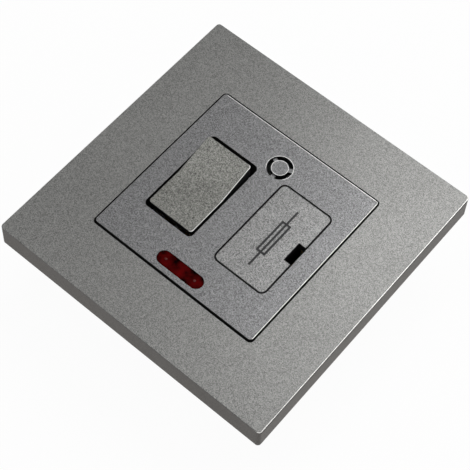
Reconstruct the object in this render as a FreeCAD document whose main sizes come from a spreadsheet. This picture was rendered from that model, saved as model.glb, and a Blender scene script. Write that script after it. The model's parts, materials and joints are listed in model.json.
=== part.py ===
"""Fused spur unit: a square plate with a switched fuse outlet, all its pieces in one shared frame.

The frame is that of the unit on its wall: +X to the right, +Y up, +Z out of the wall.
The origin lies on the wall, midway between the two fixing screws. Lengths are in millimetres.
"""
import FreeCAD, Part

import math
import os
import re

import Sketcher

V = FreeCAD.Vector

SIZES = [
    ("overlap", 0.1, "how far a pad or a cut reaches into what it joins"),
    # clip-on front frame
    ("plate_size", 86.0, "front of the plate, both ways"),
    ("plate_depth", 7.6, "wall to the front of the plate"),
    ("plate_front", 2.0, "thickness of the plate's front"),
    ("plate_wall", 1.8, "thickness of the plate's sides"),
    ("plate_draft", 0.2, "how far each side leans out towards the wall"),
    ("plate_corner", 1.0, "corner radius of the plate"),
    ("plate_edge", 0.2, "radius along the plate's front edge"),
    ("skirt_wall", 1.2, "wall round the plate's opening"),
    ("seat_gap", 0.3, "play between the plate's skirt and the flange"),
    ("hook_spread", 32.0, "distance between the two hooks of a side"),
    ("hook_width", 8.0, "width of a snap hook"),
    ("hook_wall", 1.2, "thickness of a hook's leg"),
    ("hook_nose", 0.7, "how far a hook's nose stands out"),
    ("hook_foot", 0.4, "wall to the lower end of a hook"),
    ("nose_height", 1.0, "height of a hook's nose"),
    # fascia with its flange
    ("face_size", 52.1, "raised face of the fascia, both ways"),
    ("face_gap", 0.45, "gap between the face and the plate"),
    ("face_proud", 0.4, "how far the face stands in front of the plate"),
    ("face_front", 2.2, "thickness of the face"),
    ("face_wall", 1.2, "thickness of the raised box's sides"),
    ("face_corner", 0.9, "corner radius of the face"),
    ("face_edge", 0.2, "radius along the face's edge"),
    ("flange_room", 2.2, "room between the flange and the plate's sides"),
    ("flange_depth", 3.0, "thickness of the flange"),
    ("flange_corner", 2.0, "corner radius of the flange"),
    ("opening_half", 23.2, "half the width of the flange's opening"),
    ("fixing_pitch", 60.3, "distance between the fixing screws"),
    ("fixing_radius", 2.0, "half the width of a fixing slot"),
    ("fixing_slot", 6.5, "length of a fixing slot"),
    ("fixing_seat", 3.8, "half the width of the recess for a screw head"),
    ("fixing_recess", 1.0, "depth of the recess for a screw head"),
    ("hook_play", 0.5, "play round a hook in its slot"),
    ("hook_catch", 0.3, "how far the slot's far edge lies behind the leg"),
    ("catch_depth", 1.6, "depth of the recess behind a hook's nose"),
    ("well_wall", 1.5, "wall round a well"),
    ("well_foot", 0.3, "play between the wells and the housing"),
    ("well_corner", 1.4, "corner radius of the rocker's well"),
    # fuse carrier
    ("carrier_x", -12.05, "middle of the fuse carrier, across"),
    ("carrier_y", 0.07, "middle of the fuse carrier, up"),
    ("carrier_width", 16.3, "width of the carrier's face"),
    ("carrier_length", 28.6, "length of the carrier's face"),
    ("carrier_gap", 0.3, "gap round the carrier's face"),
    ("carrier_corner", 1.6, "corner radius of the carrier's face"),
    ("carrier_edge", 0.1, "radius along the edge of the carrier's face"),
    ("notch_depth", 2.2, "finger notch, across"),
    ("notch_length", 6.1, "finger notch, up"),
    ("fuse_radius", 3.175, "radius of the fuse's end caps"),
    ("fuse_length", 25.4, "length of the fuse"),
    ("fuse_level", -3.4, "axis of the fuse, from the wall"),
    ("cap_length", 6.0, "length of an end cap"),
    ("cap_wall", 0.35, "wall of an end cap"),
    ("cradle_play", 0.12, "play between the fuse and its cradle"),
    ("cradle_wall", 1.4, "wall of the cradle"),
    ("cradle_half", 6.3, "half the length of the cradle's cheeks"),
    ("cradle_drop", 1.5, "how far the cheeks reach past the fuse's axis"),
    ("leg_half", 4.0, "half the width of the carrier's legs"),
    ("leg_wall", 1.2, "thickness of the carrier's legs"),
    ("leg_foot", -12.0, "lower end of the legs, from the wall"),
    ("leg_play", 0.1, "how far a leg stands back from the face's end"),
    ("lug_out", 0.8, "how far a stop lug stands out"),
    ("lug_height", 1.4, "height of a stop lug"),
    ("carrier_travel", 14.8, "how far the carrier pulls out"),
    ("stop_play", 0.1, "play left at the carrier's stop"),
    ("lug_play", 0.3, "play beside a stop lug"),
    # fuse clips
    ("clip_half", 2.5, "half the length of a fuse clip"),
    ("clip_play", 0.1, "play between a clip's arm and the cap"),
    ("clip_seat", 0.4, "play between a clip's base and the cap"),
    ("clip_bend", 0.9, "height of an arm's flared end"),
    ("clip_wall", 0.6, "thickness of the clip's strip"),
    ("clip_y", 10.4, "middle of a clip, from the carrier's middle"),
    ("clip_reach", 2.4, "how far the arms reach past the fuse's axis"),
    ("clip_flare", 0.35, "how far the arms' ends open out"),
    ("strap_wall", 1.0, "thickness of the straps"),
    ("strap_half", 2.2, "half the width of the straps"),
    # rocker and its switch
    ("rocker_x", 12.0, "middle of the rocker, across"),
    ("rocker_y", 0.25, "middle of the rocker's well, and its pins, up"),
    ("rocker_pin_z", 4.83, "axis of the rocker's pins, from the wall"),
    ("well_width", 15.95, "width of the rocker's well"),
    ("rocker_gap", 0.675, "gap beside the rocker"),
    ("rocker_end_gap", 1.65, "gap beyond each end of the rocker"),
    ("rocker_half", 12.2, "length of each half of the rocker"),
    ("rocker_rise", 3.5, "pins to the kink between the two halves"),
    ("rocker_tilt", 7.0, "tilt to each side of the middle, degrees"),
    ("rocker_front", 1.5, "thickness of the rocker's face"),
    ("rocker_wall", 1.3, "thickness of the rocker's sides"),
    ("rocker_skirt", 2.4, "pins to the lower edge of the sides"),
    ("rocker_knee", 4.0, "pins to the end of the sides' level lower edge"),
    ("rocker_lean", 0.5, "how far an end wall leans in"),
    ("rocker_corner", 0.8, "corner radius of the rocker"),
    ("rocker_edge", 0.25, "radius along the rocker's edges"),
    ("pin_radius", 1.5, "radius of the rocker's pins"),
    ("pin_length", 1.6, "how far the pins stand out"),
    ("pin_play", 0.08, "play round a pin"),
    ("pole_spread", 7.2, "distance between the two poles"),
    ("tube_radius", 2.3, "radius of the plunger tubes"),
    ("tube_drop", 6.0, "pins to the lower end of the tubes"),
    ("bore_radius", 1.6, "bore for a plunger"),
    ("bore_top", 1.4, "pins to the closed end of the bore"),
    ("plunger_radius", 1.5, "radius of a plunger"),
    ("plunger_top", 3.2, "pins to the upper end of a plunger"),
    ("plunger_play", 0.05, "play over the lever at mid travel"),
    ("spring_radius", 1.2, "outer radius of a plunger spring"),
    ("spring_wire", 0.32, "thickness of a spring's turns"),
    ("spring_turns", 6, "turns of a plunger spring"),
    ("lever_rise", 12.8, "housing's floor to the axis of the contact levers"),
    ("lever_room", 1.2, "room beside a lever"),
    ("lever_end_room", 1.3, "room beyond each end of a lever"),
    ("lever_wall", 0.9, "thickness of a lever"),
    ("lever_front", 13.4, "axis to the lever's contact end"),
    ("lever_back", 11.0, "axis to the lever's other end"),
    ("lever_reach", 12.0, "axis to the moving contact"),
    ("knife_radius", 0.5, "rounded top of the lever's bracket"),
    ("knife_play", 0.06, "play of the lever on its bracket"),
    ("ear_drop", 0.8, "how far the lever's ears reach down"),
    ("ear_half", 1.5, "outer half width of the lever's ears"),
    ("contact_radius", 1.6, "radius of a contact"),
    ("contact_wall", 0.9, "thickness of the moving contact"),
    ("contact_dome", 5.0, "radius of the moving contact's dome"),
    ("contact_play", 0.06, "play left when the contacts meet"),
    ("stop_reach", 10.0, "axis to the lever's stop rib"),
    ("rib_wall", 1.2, "thickness of the stop ribs"),
    ("rib_play", 0.1, "play between a lever and its stop rib"),
    # indicator
    ("lens_y", 22.4, "middle of the indicator, up"),
    ("lens_length", 14.4, "length of the lens"),
    ("lens_height", 3.9, "height of the lens"),
    ("lens_gap", 0.1, "gap round the lens"),
    ("lens_sunk", 0.15, "how far the lens lies behind the face"),
    ("lens_lip", 0.3, "lip that holds the lens behind the face"),
    ("lens_end_lip", 1.2, "the same lip at the lens's round ends"),
    ("lens_lip_wall", 0.6, "thickness of that lip"),
    ("lamp_radius", 2.35, "radius of the neon lamp"),
    ("lamp_length", 11.0, "length of the neon lamp"),
    ("lamp_edge", 1.2, "radius round the lamp's ends"),
    ("lamp_level", 2.65, "axis of the lamp, from the wall"),
    ("lamp_y", 22.25, "axis of the lamp, up"),
    ("lamp_play", 0.2, "play round the lamp in its holder"),
    ("lead_radius", 0.35, "radius of a lamp lead"),
    ("lead_spread", 1.6, "distance between the lamp's two leads"),
    ("lead_bend", 1.0, "bend radius of a lead"),
    ("lead_turn", 3.0, "lamp's end to the lead that turns back"),
    ("lead_level", -3.0, "level of the returning lead"),
    ("resistor_radius", 1.1, "radius of the series resistor"),
    ("resistor_length", 6.5, "length of the series resistor"),
    ("resistor_edge", 0.35, "radius round the resistor's ends"),
    # flex outlet
    ("outlet_y", -17.25, "middle of the flex outlet, up"),
    ("outlet_outer", 3.6, "outer radius of the knock-out's slot"),
    ("outlet_inner", 2.35, "inner radius of the knock-out's slot"),
    ("outlet_web", 1.2, "width of a web that holds the knock-out"),
    ("outlet_sunk", 0.6, "how far the webs lie behind the face"),
    ("outlet_webs", 3, "number of webs"),
    ("outlet_way", 3.8, "radius of the flex's way behind the knock-out"),
    ("exit_reach", 9.5, "outlet to the far end of the trough that the flex leaves by"),
    ("exit_half", 3.4, "half the width of that trough"),
    ("exit_depth", 7.5, "depth of that trough, from the back"),
    # rear housing
    ("housing_width", 50.4, "width of the rear housing"),
    ("housing_height", 60.0, "height of the rear housing"),
    ("housing_depth", 22.0, "depth of the rear housing"),
    ("housing_wall", 2.2, "walls and floor of the housing"),
    ("housing_corner", 3.0, "corner radius of the housing"),
    ("housing_edge", 0.6, "chamfer round the housing's back"),
    ("cell_wall", 1.0, "thickness of the barrier between the poles and of the lamp's holder"),
    ("core_wall", 1.4, "wall each side of the hollow between the wells"),
    ("insert_wall", 0.8, "wall at the lower end of the switch insert"),
    ("insert_play", 0.1, "play round the switch insert"),
    ("core_low", -6.0, "lower end of the hollow between the wells"),
    ("core_high", 9.0, "upper end of the hollow between the wells"),
    # terminals
    ("block_width", 8.0, "width of a terminal"),
    ("block_length", 9.0, "length of a terminal"),
    ("block_height", 8.5, "height of a terminal"),
    ("block_play", 0.3, "play round a terminal in its cell"),
    ("block_line", 23.0, "middle of the terminals, from the middle"),
    ("supply_live_x", 7.2, "middle of the supply live terminal"),
    ("supply_neutral_x", 16.8, "middle of the supply neutral terminal"),
    ("load_neutral_x", 17.5, "middle of the load neutral terminal"),
    ("earth_left_x", -18.6, "middle of the left earth terminal"),
    ("earth_right_x", -9.8, "middle of the right earth terminal"),
    ("wire_radius", 1.9, "radius of a terminal's wire hole and of the housing's entry to it"),
    ("wire_level", 4.3, "wire hole, from the terminal's foot"),
    ("screw_radius", 1.7, "radius of a terminal screw"),
    ("screw_play", 0.05, "play round a screw"),
    ("head_radius", 2.4, "radius of a terminal screw's head"),
    ("head_height", 1.5, "height of a screw's head"),
    ("head_slot", 0.7, "width of a screw's slot"),
    ("head_slot_depth", 0.8, "depth of a screw's slot"),
    ("access_radius", 2.8, "hole for the screwdriver"),
    ("neutral_strap_width", 2.0, "width of the load neutral strap"),
    # fasteners and clamp
    ("casing_screw_x", -2.4, "upper housing screw, across"),
    ("casing_screw_y", 26.8, "upper housing screw, up"),
    ("low_screw_x", 9.2, "lower housing screw, across"),
    ("low_screw_y", -26.8, "lower housing screw, up"),
    ("casing_screw_radius", 1.45, "radius of a housing screw"),
    ("casing_head_radius", 2.2, "radius of a housing screw's head"),
    ("casing_head_level", -6.0, "seat of a housing screw's head"),
    ("casing_screw_reach", 2.4, "how far a housing screw enters the flange"),
    ("clamp_width", 5.0, "width of the cord clamp"),
    ("clamp_corner", 1.0, "corner radius of the cord clamp"),
    ("clamp_length", 20.0, "length of the cord clamp"),
    ("clamp_height", 2.6, "thickness of the cord clamp"),
    ("clamp_recess", 3.2, "depth of the recess for the clamp"),
    ("clamp_play", 0.3, "play round the clamp"),
    ("clamp_groove", 4.0, "radius of the groove that bears on the flex"),
    ("groove_depth", 1.4, "depth of that groove"),
    ("clamp_pitch", 15.2, "distance between the clamp's screws"),
    ("clamp_screw_radius", 1.4, "radius of a clamp screw"),
    ("clamp_head_radius", 2.0, "radius of a clamp screw's head"),
    ("clamp_head_height", 1.1, "height of a clamp screw's head"),
    ("clamp_screw_reach", 5.0, "how far a clamp screw enters the housing"),
]

doc = FreeCAD.newDocument("FusedSpurUnit")
sheet = doc.addObject("Spreadsheet::Sheet", "Sizes")
for row, (alias, size, note) in enumerate(SIZES, start=1):
    sheet.set("A%d" % row, alias)
    sheet.set("B%d" % row, str(size))
    sheet.setAlias("B%d" % row, alias)
    sheet.set("C%d" % row, note)
doc.recompute()

ALIASES = {alias for alias, size, note in SIZES}
PLANES = {"Z": "XY_Plane", "Y": "XZ_Plane", "X": "YZ_Plane"}

# places that several pieces share, worked out from the sheet
FACE_TOP = "(plate_depth + face_proud)"
FACE_UNDER = "(plate_depth + face_proud - face_front)"
PLATE_UNDER = "(plate_depth - plate_front)"
FACE_HALF = "(face_size / 2)"
BOX_INNER = "(face_size / 2 - face_wall)"
FLOOR = "(housing_wall - housing_depth)"
STRAP_LEVEL = "(%s + block_height)" % FLOOR
STRAP_TOP = "(%s + strap_wall)" % STRAP_LEVEL
FOOT_TOP = "(%s + strap_wall)" % FLOOR
INNER_X = "(housing_width / 2 - housing_wall)"
INNER_Y = "(housing_height / 2 - housing_wall)"
LIVE_X = "(rocker_x - pole_spread / 2)"
NEUTRAL_X = "(rocker_x + pole_spread / 2)"
LEVER_LEVEL = "(%s + lever_rise)" % FLOOR
LEVER_DROP = "(rocker_pin_z - %s - lever_wall)" % LEVER_LEVEL
CELL_HALF = "(block_width / 2 + block_play)"
CELL_NEAR = "(block_line - block_length / 2 - block_play)"
CLIP_FLOOR = "(fuse_level - fuse_radius - clip_seat)"
LEG_OUTER = "(carrier_length / 2 - leg_play)"
SKIRT_HALF = "(face_size / 2 + face_gap + skirt_wall)"
FLANGE_HALF = "(plate_size / 2 - plate_wall - flange_room)"
HOOK_LINE = "((%s + %s - hook_wall - hook_nose) / 2)" % (SKIRT_HALF, FLANGE_HALF)
ROCKER_WIDTH = "(well_width - 2 * rocker_gap)"
WELL_HALF = "(rocker_half + rocker_end_gap)"
SWITCH_LEFT = "(%s - strap_half - lever_room)" % LIVE_X
SWITCH_LOW = "(rocker_y - lever_back - lever_end_room)"
SWITCH_HIGH = "(rocker_y + lever_front + lever_end_room)"
INSERT_LEFT = "(%s - core_wall)" % SWITCH_LEFT
INSERT_LOW = "(%s - insert_wall)" % SWITCH_LOW
STRAP_ROOM = "(strap_half + screw_play)"
NEUTRAL_STRAP_LEFT = "(load_neutral_x + block_width / 2 - neutral_strap_width - screw_play)"
FUSE_CELL_HALF = "(carrier_width / 2 + carrier_gap + lug_play)"
FUSE_CELL_TALL = "(%s + lug_out + lug_play)" % LEG_OUTER


# how near an edge has to lie to a place to be taken for the edge meant
NEAR = 0.3
LEVEL = 0.01


def bound(text):
    """Turn a formula of size names into one that reads the sheet."""
    return re.sub(r"[a-z_]+", lambda m: "Sizes." + m.group() if m.group() in ALIASES else m.group(), text)


def value(text):
    """Work a formula of size names out."""
    return float(sheet.evalExpression(bound(text)))


def fixed(sketch, kind, geometry, point, text):
    """Hold one coordinate of a sketch point at a formula."""
    number = sketch.addConstraint(Sketcher.Constraint(kind, -1, 1, geometry, point, value(text)))
    sketch.setExpression("Constraints[%d]" % number, bound(text))


def polygon(points):
    """Closed outline through points that are given as pairs of formulas."""
    def draw(sketch):
        first = sketch.GeometryCount
        corners = [V(value(x), value(y), 0) for x, y in points]
        count = len(corners)
        for index in range(count):
            line = Part.LineSegment(corners[index], corners[(index + 1) % count])
            sketch.addGeometry(line, False)
        for index in range(count):
            after = first + (index + 1) % count
            sketch.addConstraint(Sketcher.Constraint("Coincident", first + index, 2, after, 1))
        for index, (x, y) in enumerate(points):
            fixed(sketch, "DistanceX", first + index, 1, x)
            fixed(sketch, "DistanceY", first + index, 1, y)
    return draw


def rectangle(left, right, low, high):
    """Rectangle between four formulas."""
    return polygon([(left, low), (right, low), (right, high), (left, high)])


def centred(x, y, half_width, half_height):
    """Rectangle about a point."""
    return rectangle("%s - %s" % (x, half_width), "%s + %s" % (x, half_width),
                     "%s - %s" % (y, half_height), "%s + %s" % (y, half_height))


def circle(x, y, radius):
    """Circle about a point."""
    def draw(sketch):
        middle = V(value(x), value(y), 0)
        index = sketch.addGeometry(Part.Circle(middle, V(0, 0, 1), value(radius)), False)
        fixed(sketch, "DistanceX", index, 3, x)
        fixed(sketch, "DistanceY", index, 3, y)
        number = sketch.addConstraint(Sketcher.Constraint("Radius", index, value(radius)))
        sketch.setExpression("Constraints[%d]" % number, bound(radius))
    return draw


def obround(x, y, half_length, radius):
    """Slot with round ends that lies along the sketch's first axis."""
    run = "(%s - %s)" % (half_length, radius)

    def draw(sketch):
        first = sketch.GeometryCount
        left = V(value("%s - %s" % (x, run)), value(y), 0)
        right = V(value("%s + %s" % (x, run)), value(y), 0)
        lift = V(0, value(radius), 0)
        quarter = math.pi / 2
        round_right = Part.ArcOfCircle(Part.Circle(right, V(0, 0, 1), lift.y), -quarter, quarter)
        round_left = Part.ArcOfCircle(Part.Circle(left, V(0, 0, 1), lift.y), quarter, 3 * quarter)
        sketch.addGeometry(Part.LineSegment(left - lift, right - lift), False)
        sketch.addGeometry(round_right, False)
        sketch.addGeometry(Part.LineSegment(right + lift, left + lift), False)
        sketch.addGeometry(round_left, False)
        for index in range(4):
            after = first + (index + 1) % 4
            sketch.addConstraint(Sketcher.Constraint("Coincident", first + index, 2, after, 1))
        low = "%s - %s" % (y, radius)
        high = "%s + %s" % (y, radius)
        ends = [(0, 1, "-", low), (0, 2, "+", low), (2, 1, "+", high), (2, 2, "-", high)]
        for index, point, side, level in ends:
            fixed(sketch, "DistanceX", first + index, point, "%s %s %s" % (x, side, run))
            fixed(sketch, "DistanceY", first + index, point, level)
        fixed(sketch, "DistanceX", first + 1, 3, "%s + %s" % (x, run))
        fixed(sketch, "DistanceX", first + 3, 3, "%s - %s" % (x, run))
    return draw


def new_piece(label, x="0", y="0", z="0", tilt=None):
    """Body of one piece, with its place and, where it has one, its tilt about X in degrees."""
    piece = doc.addObject("PartDesign::Body", label)
    piece.Label = label
    if tilt:
        turn = FreeCAD.Rotation(V(1, 0, 0), 1)
        piece.Placement = FreeCAD.Placement(V(0, 0, 0), turn)
        piece.setExpression("Placement.Rotation.Angle", bound(tilt))
    piece.setExpression("Placement.Base.x", bound(x))
    piece.setExpression("Placement.Base.y", bound(y))
    piece.setExpression("Placement.Base.z", bound(z))
    return piece


def origin_item(piece, role):
    """Plane or axis of a body's own origin."""
    return next(item for item in piece.Origin.OriginFeatures if item.Role == role)


def new_sketch(piece, name, axis, start, outlines):
    """Sketch square to an axis, at a place along it."""
    sketch = piece.newObject("Sketcher::SketchObject", name + "Sketch")
    sketch.AttachmentSupport = [(origin_item(piece, PLANES[axis]), "")]
    sketch.MapMode = "FlatFace"
    place = "-(%s)" % start if axis == "Y" else start
    sketch.setExpression("AttachmentOffset.Base.z", bound(place))
    for draw in outlines:
        draw(sketch)
    return sketch


def pad(piece, name, axis, start, length, outlines, midplane=False, taper=None):
    """Add the outlines' solid from a place towards the axis's plus side, or to both sides of it."""
    sketch = new_sketch(piece, name, axis, start, outlines)
    feature = piece.newObject("PartDesign::Pad", name)
    feature.Profile = sketch
    feature.Reversed = axis == "Y" and not midplane
    feature.Midplane = midplane
    feature.setExpression("Length", bound(length))
    if taper:
        feature.setExpression("TaperAngle", bound(taper))
    doc.recompute()
    return feature


def pocket(piece, name, axis, start, length, outlines, midplane=False):
    """Cut the outlines from a place towards the axis's minus side, and see that it did cut."""
    before = piece.Shape.Volume
    sketch = new_sketch(piece, name, axis, start, outlines)
    feature = piece.newObject("PartDesign::Pocket", name)
    feature.Profile = sketch
    feature.Reversed = axis == "Y" and not midplane
    feature.Midplane = midplane
    feature.setExpression("Length", bound(length))
    doc.recompute()
    if not piece.Shape.Volume < before - 1e-6:
        raise RuntimeError("%s %s cuts nothing" % (piece.Label, name))
    return feature


def edges_where(piece, test):
    """Names of the edges of a body's last feature that pass a test."""
    edges = piece.Tip.Shape.Edges
    return ["Edge%d" % (index + 1) for index, edge in enumerate(edges) if test(edge)]


def upright_at(places):
    """Test for straight edges along Z that stand at given places."""
    spots = [(value(x), value(y)) for x, y in places]

    def test(edge):
        box = edge.BoundBox
        if box.ZLength < max(box.XLength, box.YLength):
            return False
        middle = edge.CenterOfMass
        return any(abs(middle.x - x) < NEAR and abs(middle.y - y) < NEAR for x, y in spots)
    return test


def level_at(z, half_width, half_height):
    """Test for edges at one level that run along the border of a rectangle about the middle."""
    level = value(z)
    wide = value(half_width)
    tall = value(half_height)

    def test(edge):
        box = edge.BoundBox
        if abs(box.ZMax - level) > LEVEL or abs(box.ZMin - level) > LEVEL:
            return False
        middle = edge.valueAt((edge.FirstParameter + edge.LastParameter) / 2)
        reach = max(abs(middle.x) / wide, abs(middle.y) / tall)
        return 0.975 < reach < 1.01
    return test


def corners(x, y, half_width, half_height):
    """The four corners of a rectangle about a point."""
    return [("%s %s %s" % (x, across, half_width), "%s %s %s" % (y, up, half_height))
            for across in "+-" for up in "+-"]


def dress(piece, kind, name, test, setting, amount):
    """Dress the edges that pass a test with a fillet or a chamfer."""
    names = edges_where(piece, test)
    if not names:
        raise RuntimeError("%s %s finds no edge" % (piece.Label, name))
    feature = piece.newObject(kind, name)
    feature.Base = (piece.Group[-2], names)
    feature.setExpression(setting, bound(amount))
    doc.recompute()
    return feature


def fillet(piece, name, test, radius):
    """Round the edges that pass a test."""
    return dress(piece, "PartDesign::Fillet", name, test, "Radius", radius)


def chamfer(piece, name, test, width):
    """Break the edges that pass a test."""
    return dress(piece, "PartDesign::Chamfer", name, test, "Size", width)


# clip-on front frame: a tapered tray with a square opening, a skirt round it and four snap hooks
def make_front_frame():
    piece = new_piece("front_frame")
    outer = "(plate_size / 2 + plate_draft)"
    inner = "(plate_size / 2 - plate_wall)"
    hole = "(face_size / 2 + face_gap)"
    skirt_foot = "(flange_depth + seat_gap)"
    pad(piece, "Block", "Z", "0", "plate_depth", [centred("0", "0", outer, outer)],
        taper="-atan(plate_draft / plate_depth)")
    fillet(piece, "Corners", upright_at(corners("0", "0", "plate_size / 2", "plate_size / 2")),
           "plate_corner")
    pocket(piece, "Hollow", "Z", PLATE_UNDER, "%s - %s" % (PLATE_UNDER, skirt_foot),
           [centred("0", "0", inner, inner), centred("0", "0", SKIRT_HALF, SKIRT_HALF)])
    pocket(piece, "Tray", "Z", skirt_foot, skirt_foot, [centred("0", "0", inner, inner)])
    pocket(piece, "Opening", "Z", "plate_depth", "plate_depth", [centred("0", "0", hole, hole)])
    fillet(piece, "OpeningCorners", upright_at(corners("0", "0", hole, hole)), "face_corner + face_gap")
    fillet(piece, "FrontEdge", level_at("plate_depth", "plate_size / 2", "plate_size / 2"), "plate_edge")
    legs = []
    noses = []
    for side in ("", "-"):
        for across in ("", "-"):
            middle = "%shook_spread / 2" % across
            leg = "%s(%s + hook_wall / 2)" % (side, HOOK_LINE)
            nose = "%s(%s + hook_wall + hook_nose / 2)" % (side, HOOK_LINE)
            legs.append(centred(middle, leg, "hook_width / 2", "hook_wall / 2"))
            noses.append(centred(middle, nose, "hook_width / 2", "hook_nose / 2"))
    pad(piece, "HookLegs", "Z", "hook_foot", "%s - hook_foot" % PLATE_UNDER, legs)
    pad(piece, "HookNoses", "Z", "hook_foot", "nose_height", noses)
    return piece


# fascia: the flange on the wall, the raised face and, behind it, the wells, the lamp holder and the bearings
def make_fascia():
    piece = new_piece("fascia")
    carrier_half = "(carrier_width / 2 + carrier_gap)"
    carrier_tall = "(carrier_length / 2 + carrier_gap)"
    well_rise = "%s - well_foot" % FACE_UNDER
    pad(piece, "Flange", "Z", "0", "flange_depth", [centred("0", "0", FLANGE_HALF, FLANGE_HALF)])
    fillet(piece, "FlangeCorners", upright_at(corners("0", "0", FLANGE_HALF, FLANGE_HALF)), "flange_corner")
    pad(piece, "Face", "Z", "flange_depth", "%s - flange_depth" % FACE_TOP,
        [centred("0", "0", FACE_HALF, FACE_HALF)])
    fillet(piece, "FaceCorners", upright_at(corners("0", "0", FACE_HALF, FACE_HALF)), "face_corner")
    pocket(piece, "Hollow", "Z", FACE_UNDER, "%s - flange_depth" % FACE_UNDER,
           [centred("0", "0", BOX_INNER, BOX_INNER)])
    pocket(piece, "Opening", "Z", "flange_depth", "flange_depth",
           [centred("0", "0", "opening_half", BOX_INNER)])
    pad(piece, "FuseWell", "Z", "well_foot", well_rise,
        [centred("carrier_x", "carrier_y", "(%s + well_wall)" % carrier_half,
                 "(%s + well_wall + lug_play)" % carrier_tall)])
    pad(piece, "RockerWell", "Z", "well_foot", well_rise,
        [centred("rocker_x", "rocker_y", "(well_width / 2 + well_wall)", "(%s + well_wall)" % WELL_HALF)])
    holder_half = "(lamp_length / 2 + lamp_play)"
    holder_low = "(lamp_y - lamp_radius - lamp_play)"
    pad(piece, "LampHolder", "Z", "well_foot", well_rise,
        [rectangle("-%s - cell_wall" % holder_half, "%s + cell_wall" % holder_half,
                   "%s - cell_wall" % holder_low, holder_low)])
    end_top = "(%s - lens_lip_wall - lens_gap)" % FACE_UNDER
    end_high = "(%s + overlap)" % BOX_INNER
    pad(piece, "LampEnds", "Z", "lamp_level + lamp_radius / 2", "%s - lamp_level - lamp_radius / 2" % end_top,
        [rectangle("-%s - cell_wall" % holder_half, "-%s" % holder_half, holder_low, end_high),
         rectangle(holder_half, "%s + cell_wall" % holder_half, holder_low, end_high)])
    pocket(piece, "FuseAperture", "Z", FACE_TOP, FACE_TOP,
           [centred("carrier_x", "carrier_y", carrier_half, carrier_tall)])
    fillet(piece, "FuseCorners", upright_at(corners("carrier_x", "carrier_y", carrier_half, carrier_tall)),
           "carrier_corner + carrier_gap")
    pocket(piece, "RockerAperture", "Z", FACE_TOP, FACE_TOP,
           [centred("rocker_x", "rocker_y", "well_width / 2", WELL_HALF)])
    fillet(piece, "RockerCorners", upright_at(corners("rocker_x", "rocker_y", "well_width / 2", WELL_HALF)),
           "well_corner")
    stop = "(leg_foot + lug_height + carrier_travel + stop_play)"
    pocket(piece, "LugRuns", "Z", stop, stop,
           [centred("carrier_x", "carrier_y", "(leg_half + lug_play)", FUSE_CELL_TALL)])
    bearing = [circle("rocker_y", "rocker_pin_z", "(pin_radius + pin_play)")]
    pocket(piece, "Bearings", "X", "rocker_x", "%s + 2 * (pin_length + pin_play)" % ROCKER_WIDTH, bearing,
           midplane=True)
    pocket(piece, "LensAperture", "Z", FACE_TOP, "face_front",
           [obround("0", "lens_y", "(lens_length / 2 + lens_gap)", "(lens_height / 2 + lens_gap)")])
    pocket(piece, "OutletWay", "Z", FACE_UNDER, FACE_UNDER, [circle("0", "outlet_y", "outlet_way")])
    pocket(piece, "OutletSlot", "Z", FACE_TOP, "face_front",
           [circle("0", "outlet_y", "outlet_outer"), circle("0", "outlet_y", "outlet_inner")])
    add_outlet_webs(piece)
    fixings = [obround("%sfixing_pitch / 2" % side, "0", "fixing_slot / 2", "fixing_radius")
               for side in ("", "-")]
    seats = [obround("%sfixing_pitch / 2" % side, "0", "(fixing_slot / 2 + fixing_seat - fixing_radius)",
                     "fixing_seat") for side in ("", "-")]
    pocket(piece, "FixingSlots", "Z", "flange_depth", "flange_depth", fixings)
    pocket(piece, "FixingSeats", "Z", "flange_depth", "fixing_recess", seats)
    add_hook_slots(piece)
    holes = [circle("casing_screw_x", "casing_screw_y", "(casing_screw_radius + screw_play)"),
             circle("low_screw_x", "low_screw_y", "(casing_screw_radius + screw_play)")]
    pocket(piece, "PilotHoles", "Z", "(casing_screw_reach + screw_play)",
           "(casing_screw_reach + screw_play)", holes)
    fillet(piece, "FaceEdge", level_at(FACE_TOP, FACE_HALF, FACE_HALF), "face_edge")
    return piece


def add_outlet_webs(piece):
    """Thin webs that still hold the knock-out disc, evenly spaced round it."""
    count = int(value("outlet_webs"))
    middle = "(outlet_inner + outlet_outer) / 2"
    across = "(outlet_outer - outlet_inner) / 2 + overlap"
    for number in range(count):
        angle = "(90 + %d * 360 / outlet_webs)" % number
        ends = []
        for along, side in ((-1, -1), (1, -1), (1, 1), (-1, 1)):
            reach = "(%s + %d * (%s))" % (middle, along, across)
            offset = "(%d * outlet_web / 2)" % side
            ends.append(("%s * cos(%s) - %s * sin(%s)" % (reach, angle, offset, angle),
                         "outlet_y + %s * sin(%s) + %s * cos(%s)" % (reach, angle, offset, angle)))
        pad(piece, "Web%d" % number, "Z", "(%s + outlet_sunk)" % FACE_UNDER,
            "face_front - 2 * outlet_sunk", [polygon(ends)])


def add_hook_slots(piece):
    """Slots in the flange for the frame's hooks, each with a recess behind the hook's nose."""
    slots = []
    recesses = []
    half = "(hook_width / 2 + hook_play)"
    for side in ("", "-"):
        for across in ("", "-"):
            middle = "%shook_spread / 2" % across
            low = "(%s - hook_nose - hook_catch)" % HOOK_LINE
            high = "(%s + hook_wall + hook_catch)" % HOOK_LINE
            far = "(%s + hook_wall + hook_nose + hook_play)" % HOOK_LINE
            slot_middle = "%s((%s + %s) / 2)" % (side, low, high)
            recess_middle = "%s((%s + %s) / 2)" % (side, low, far)
            slots.append(centred(middle, slot_middle, half, "((%s - %s) / 2)" % (high, low)))
            recesses.append(centred(middle, recess_middle, half, "((%s - %s) / 2)" % (far, low)))
    pocket(piece, "HookSlots", "Z", "flange_depth", "flange_depth", slots)
    pocket(piece, "HookRecesses", "Z", "catch_depth", "catch_depth", recesses)


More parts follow.
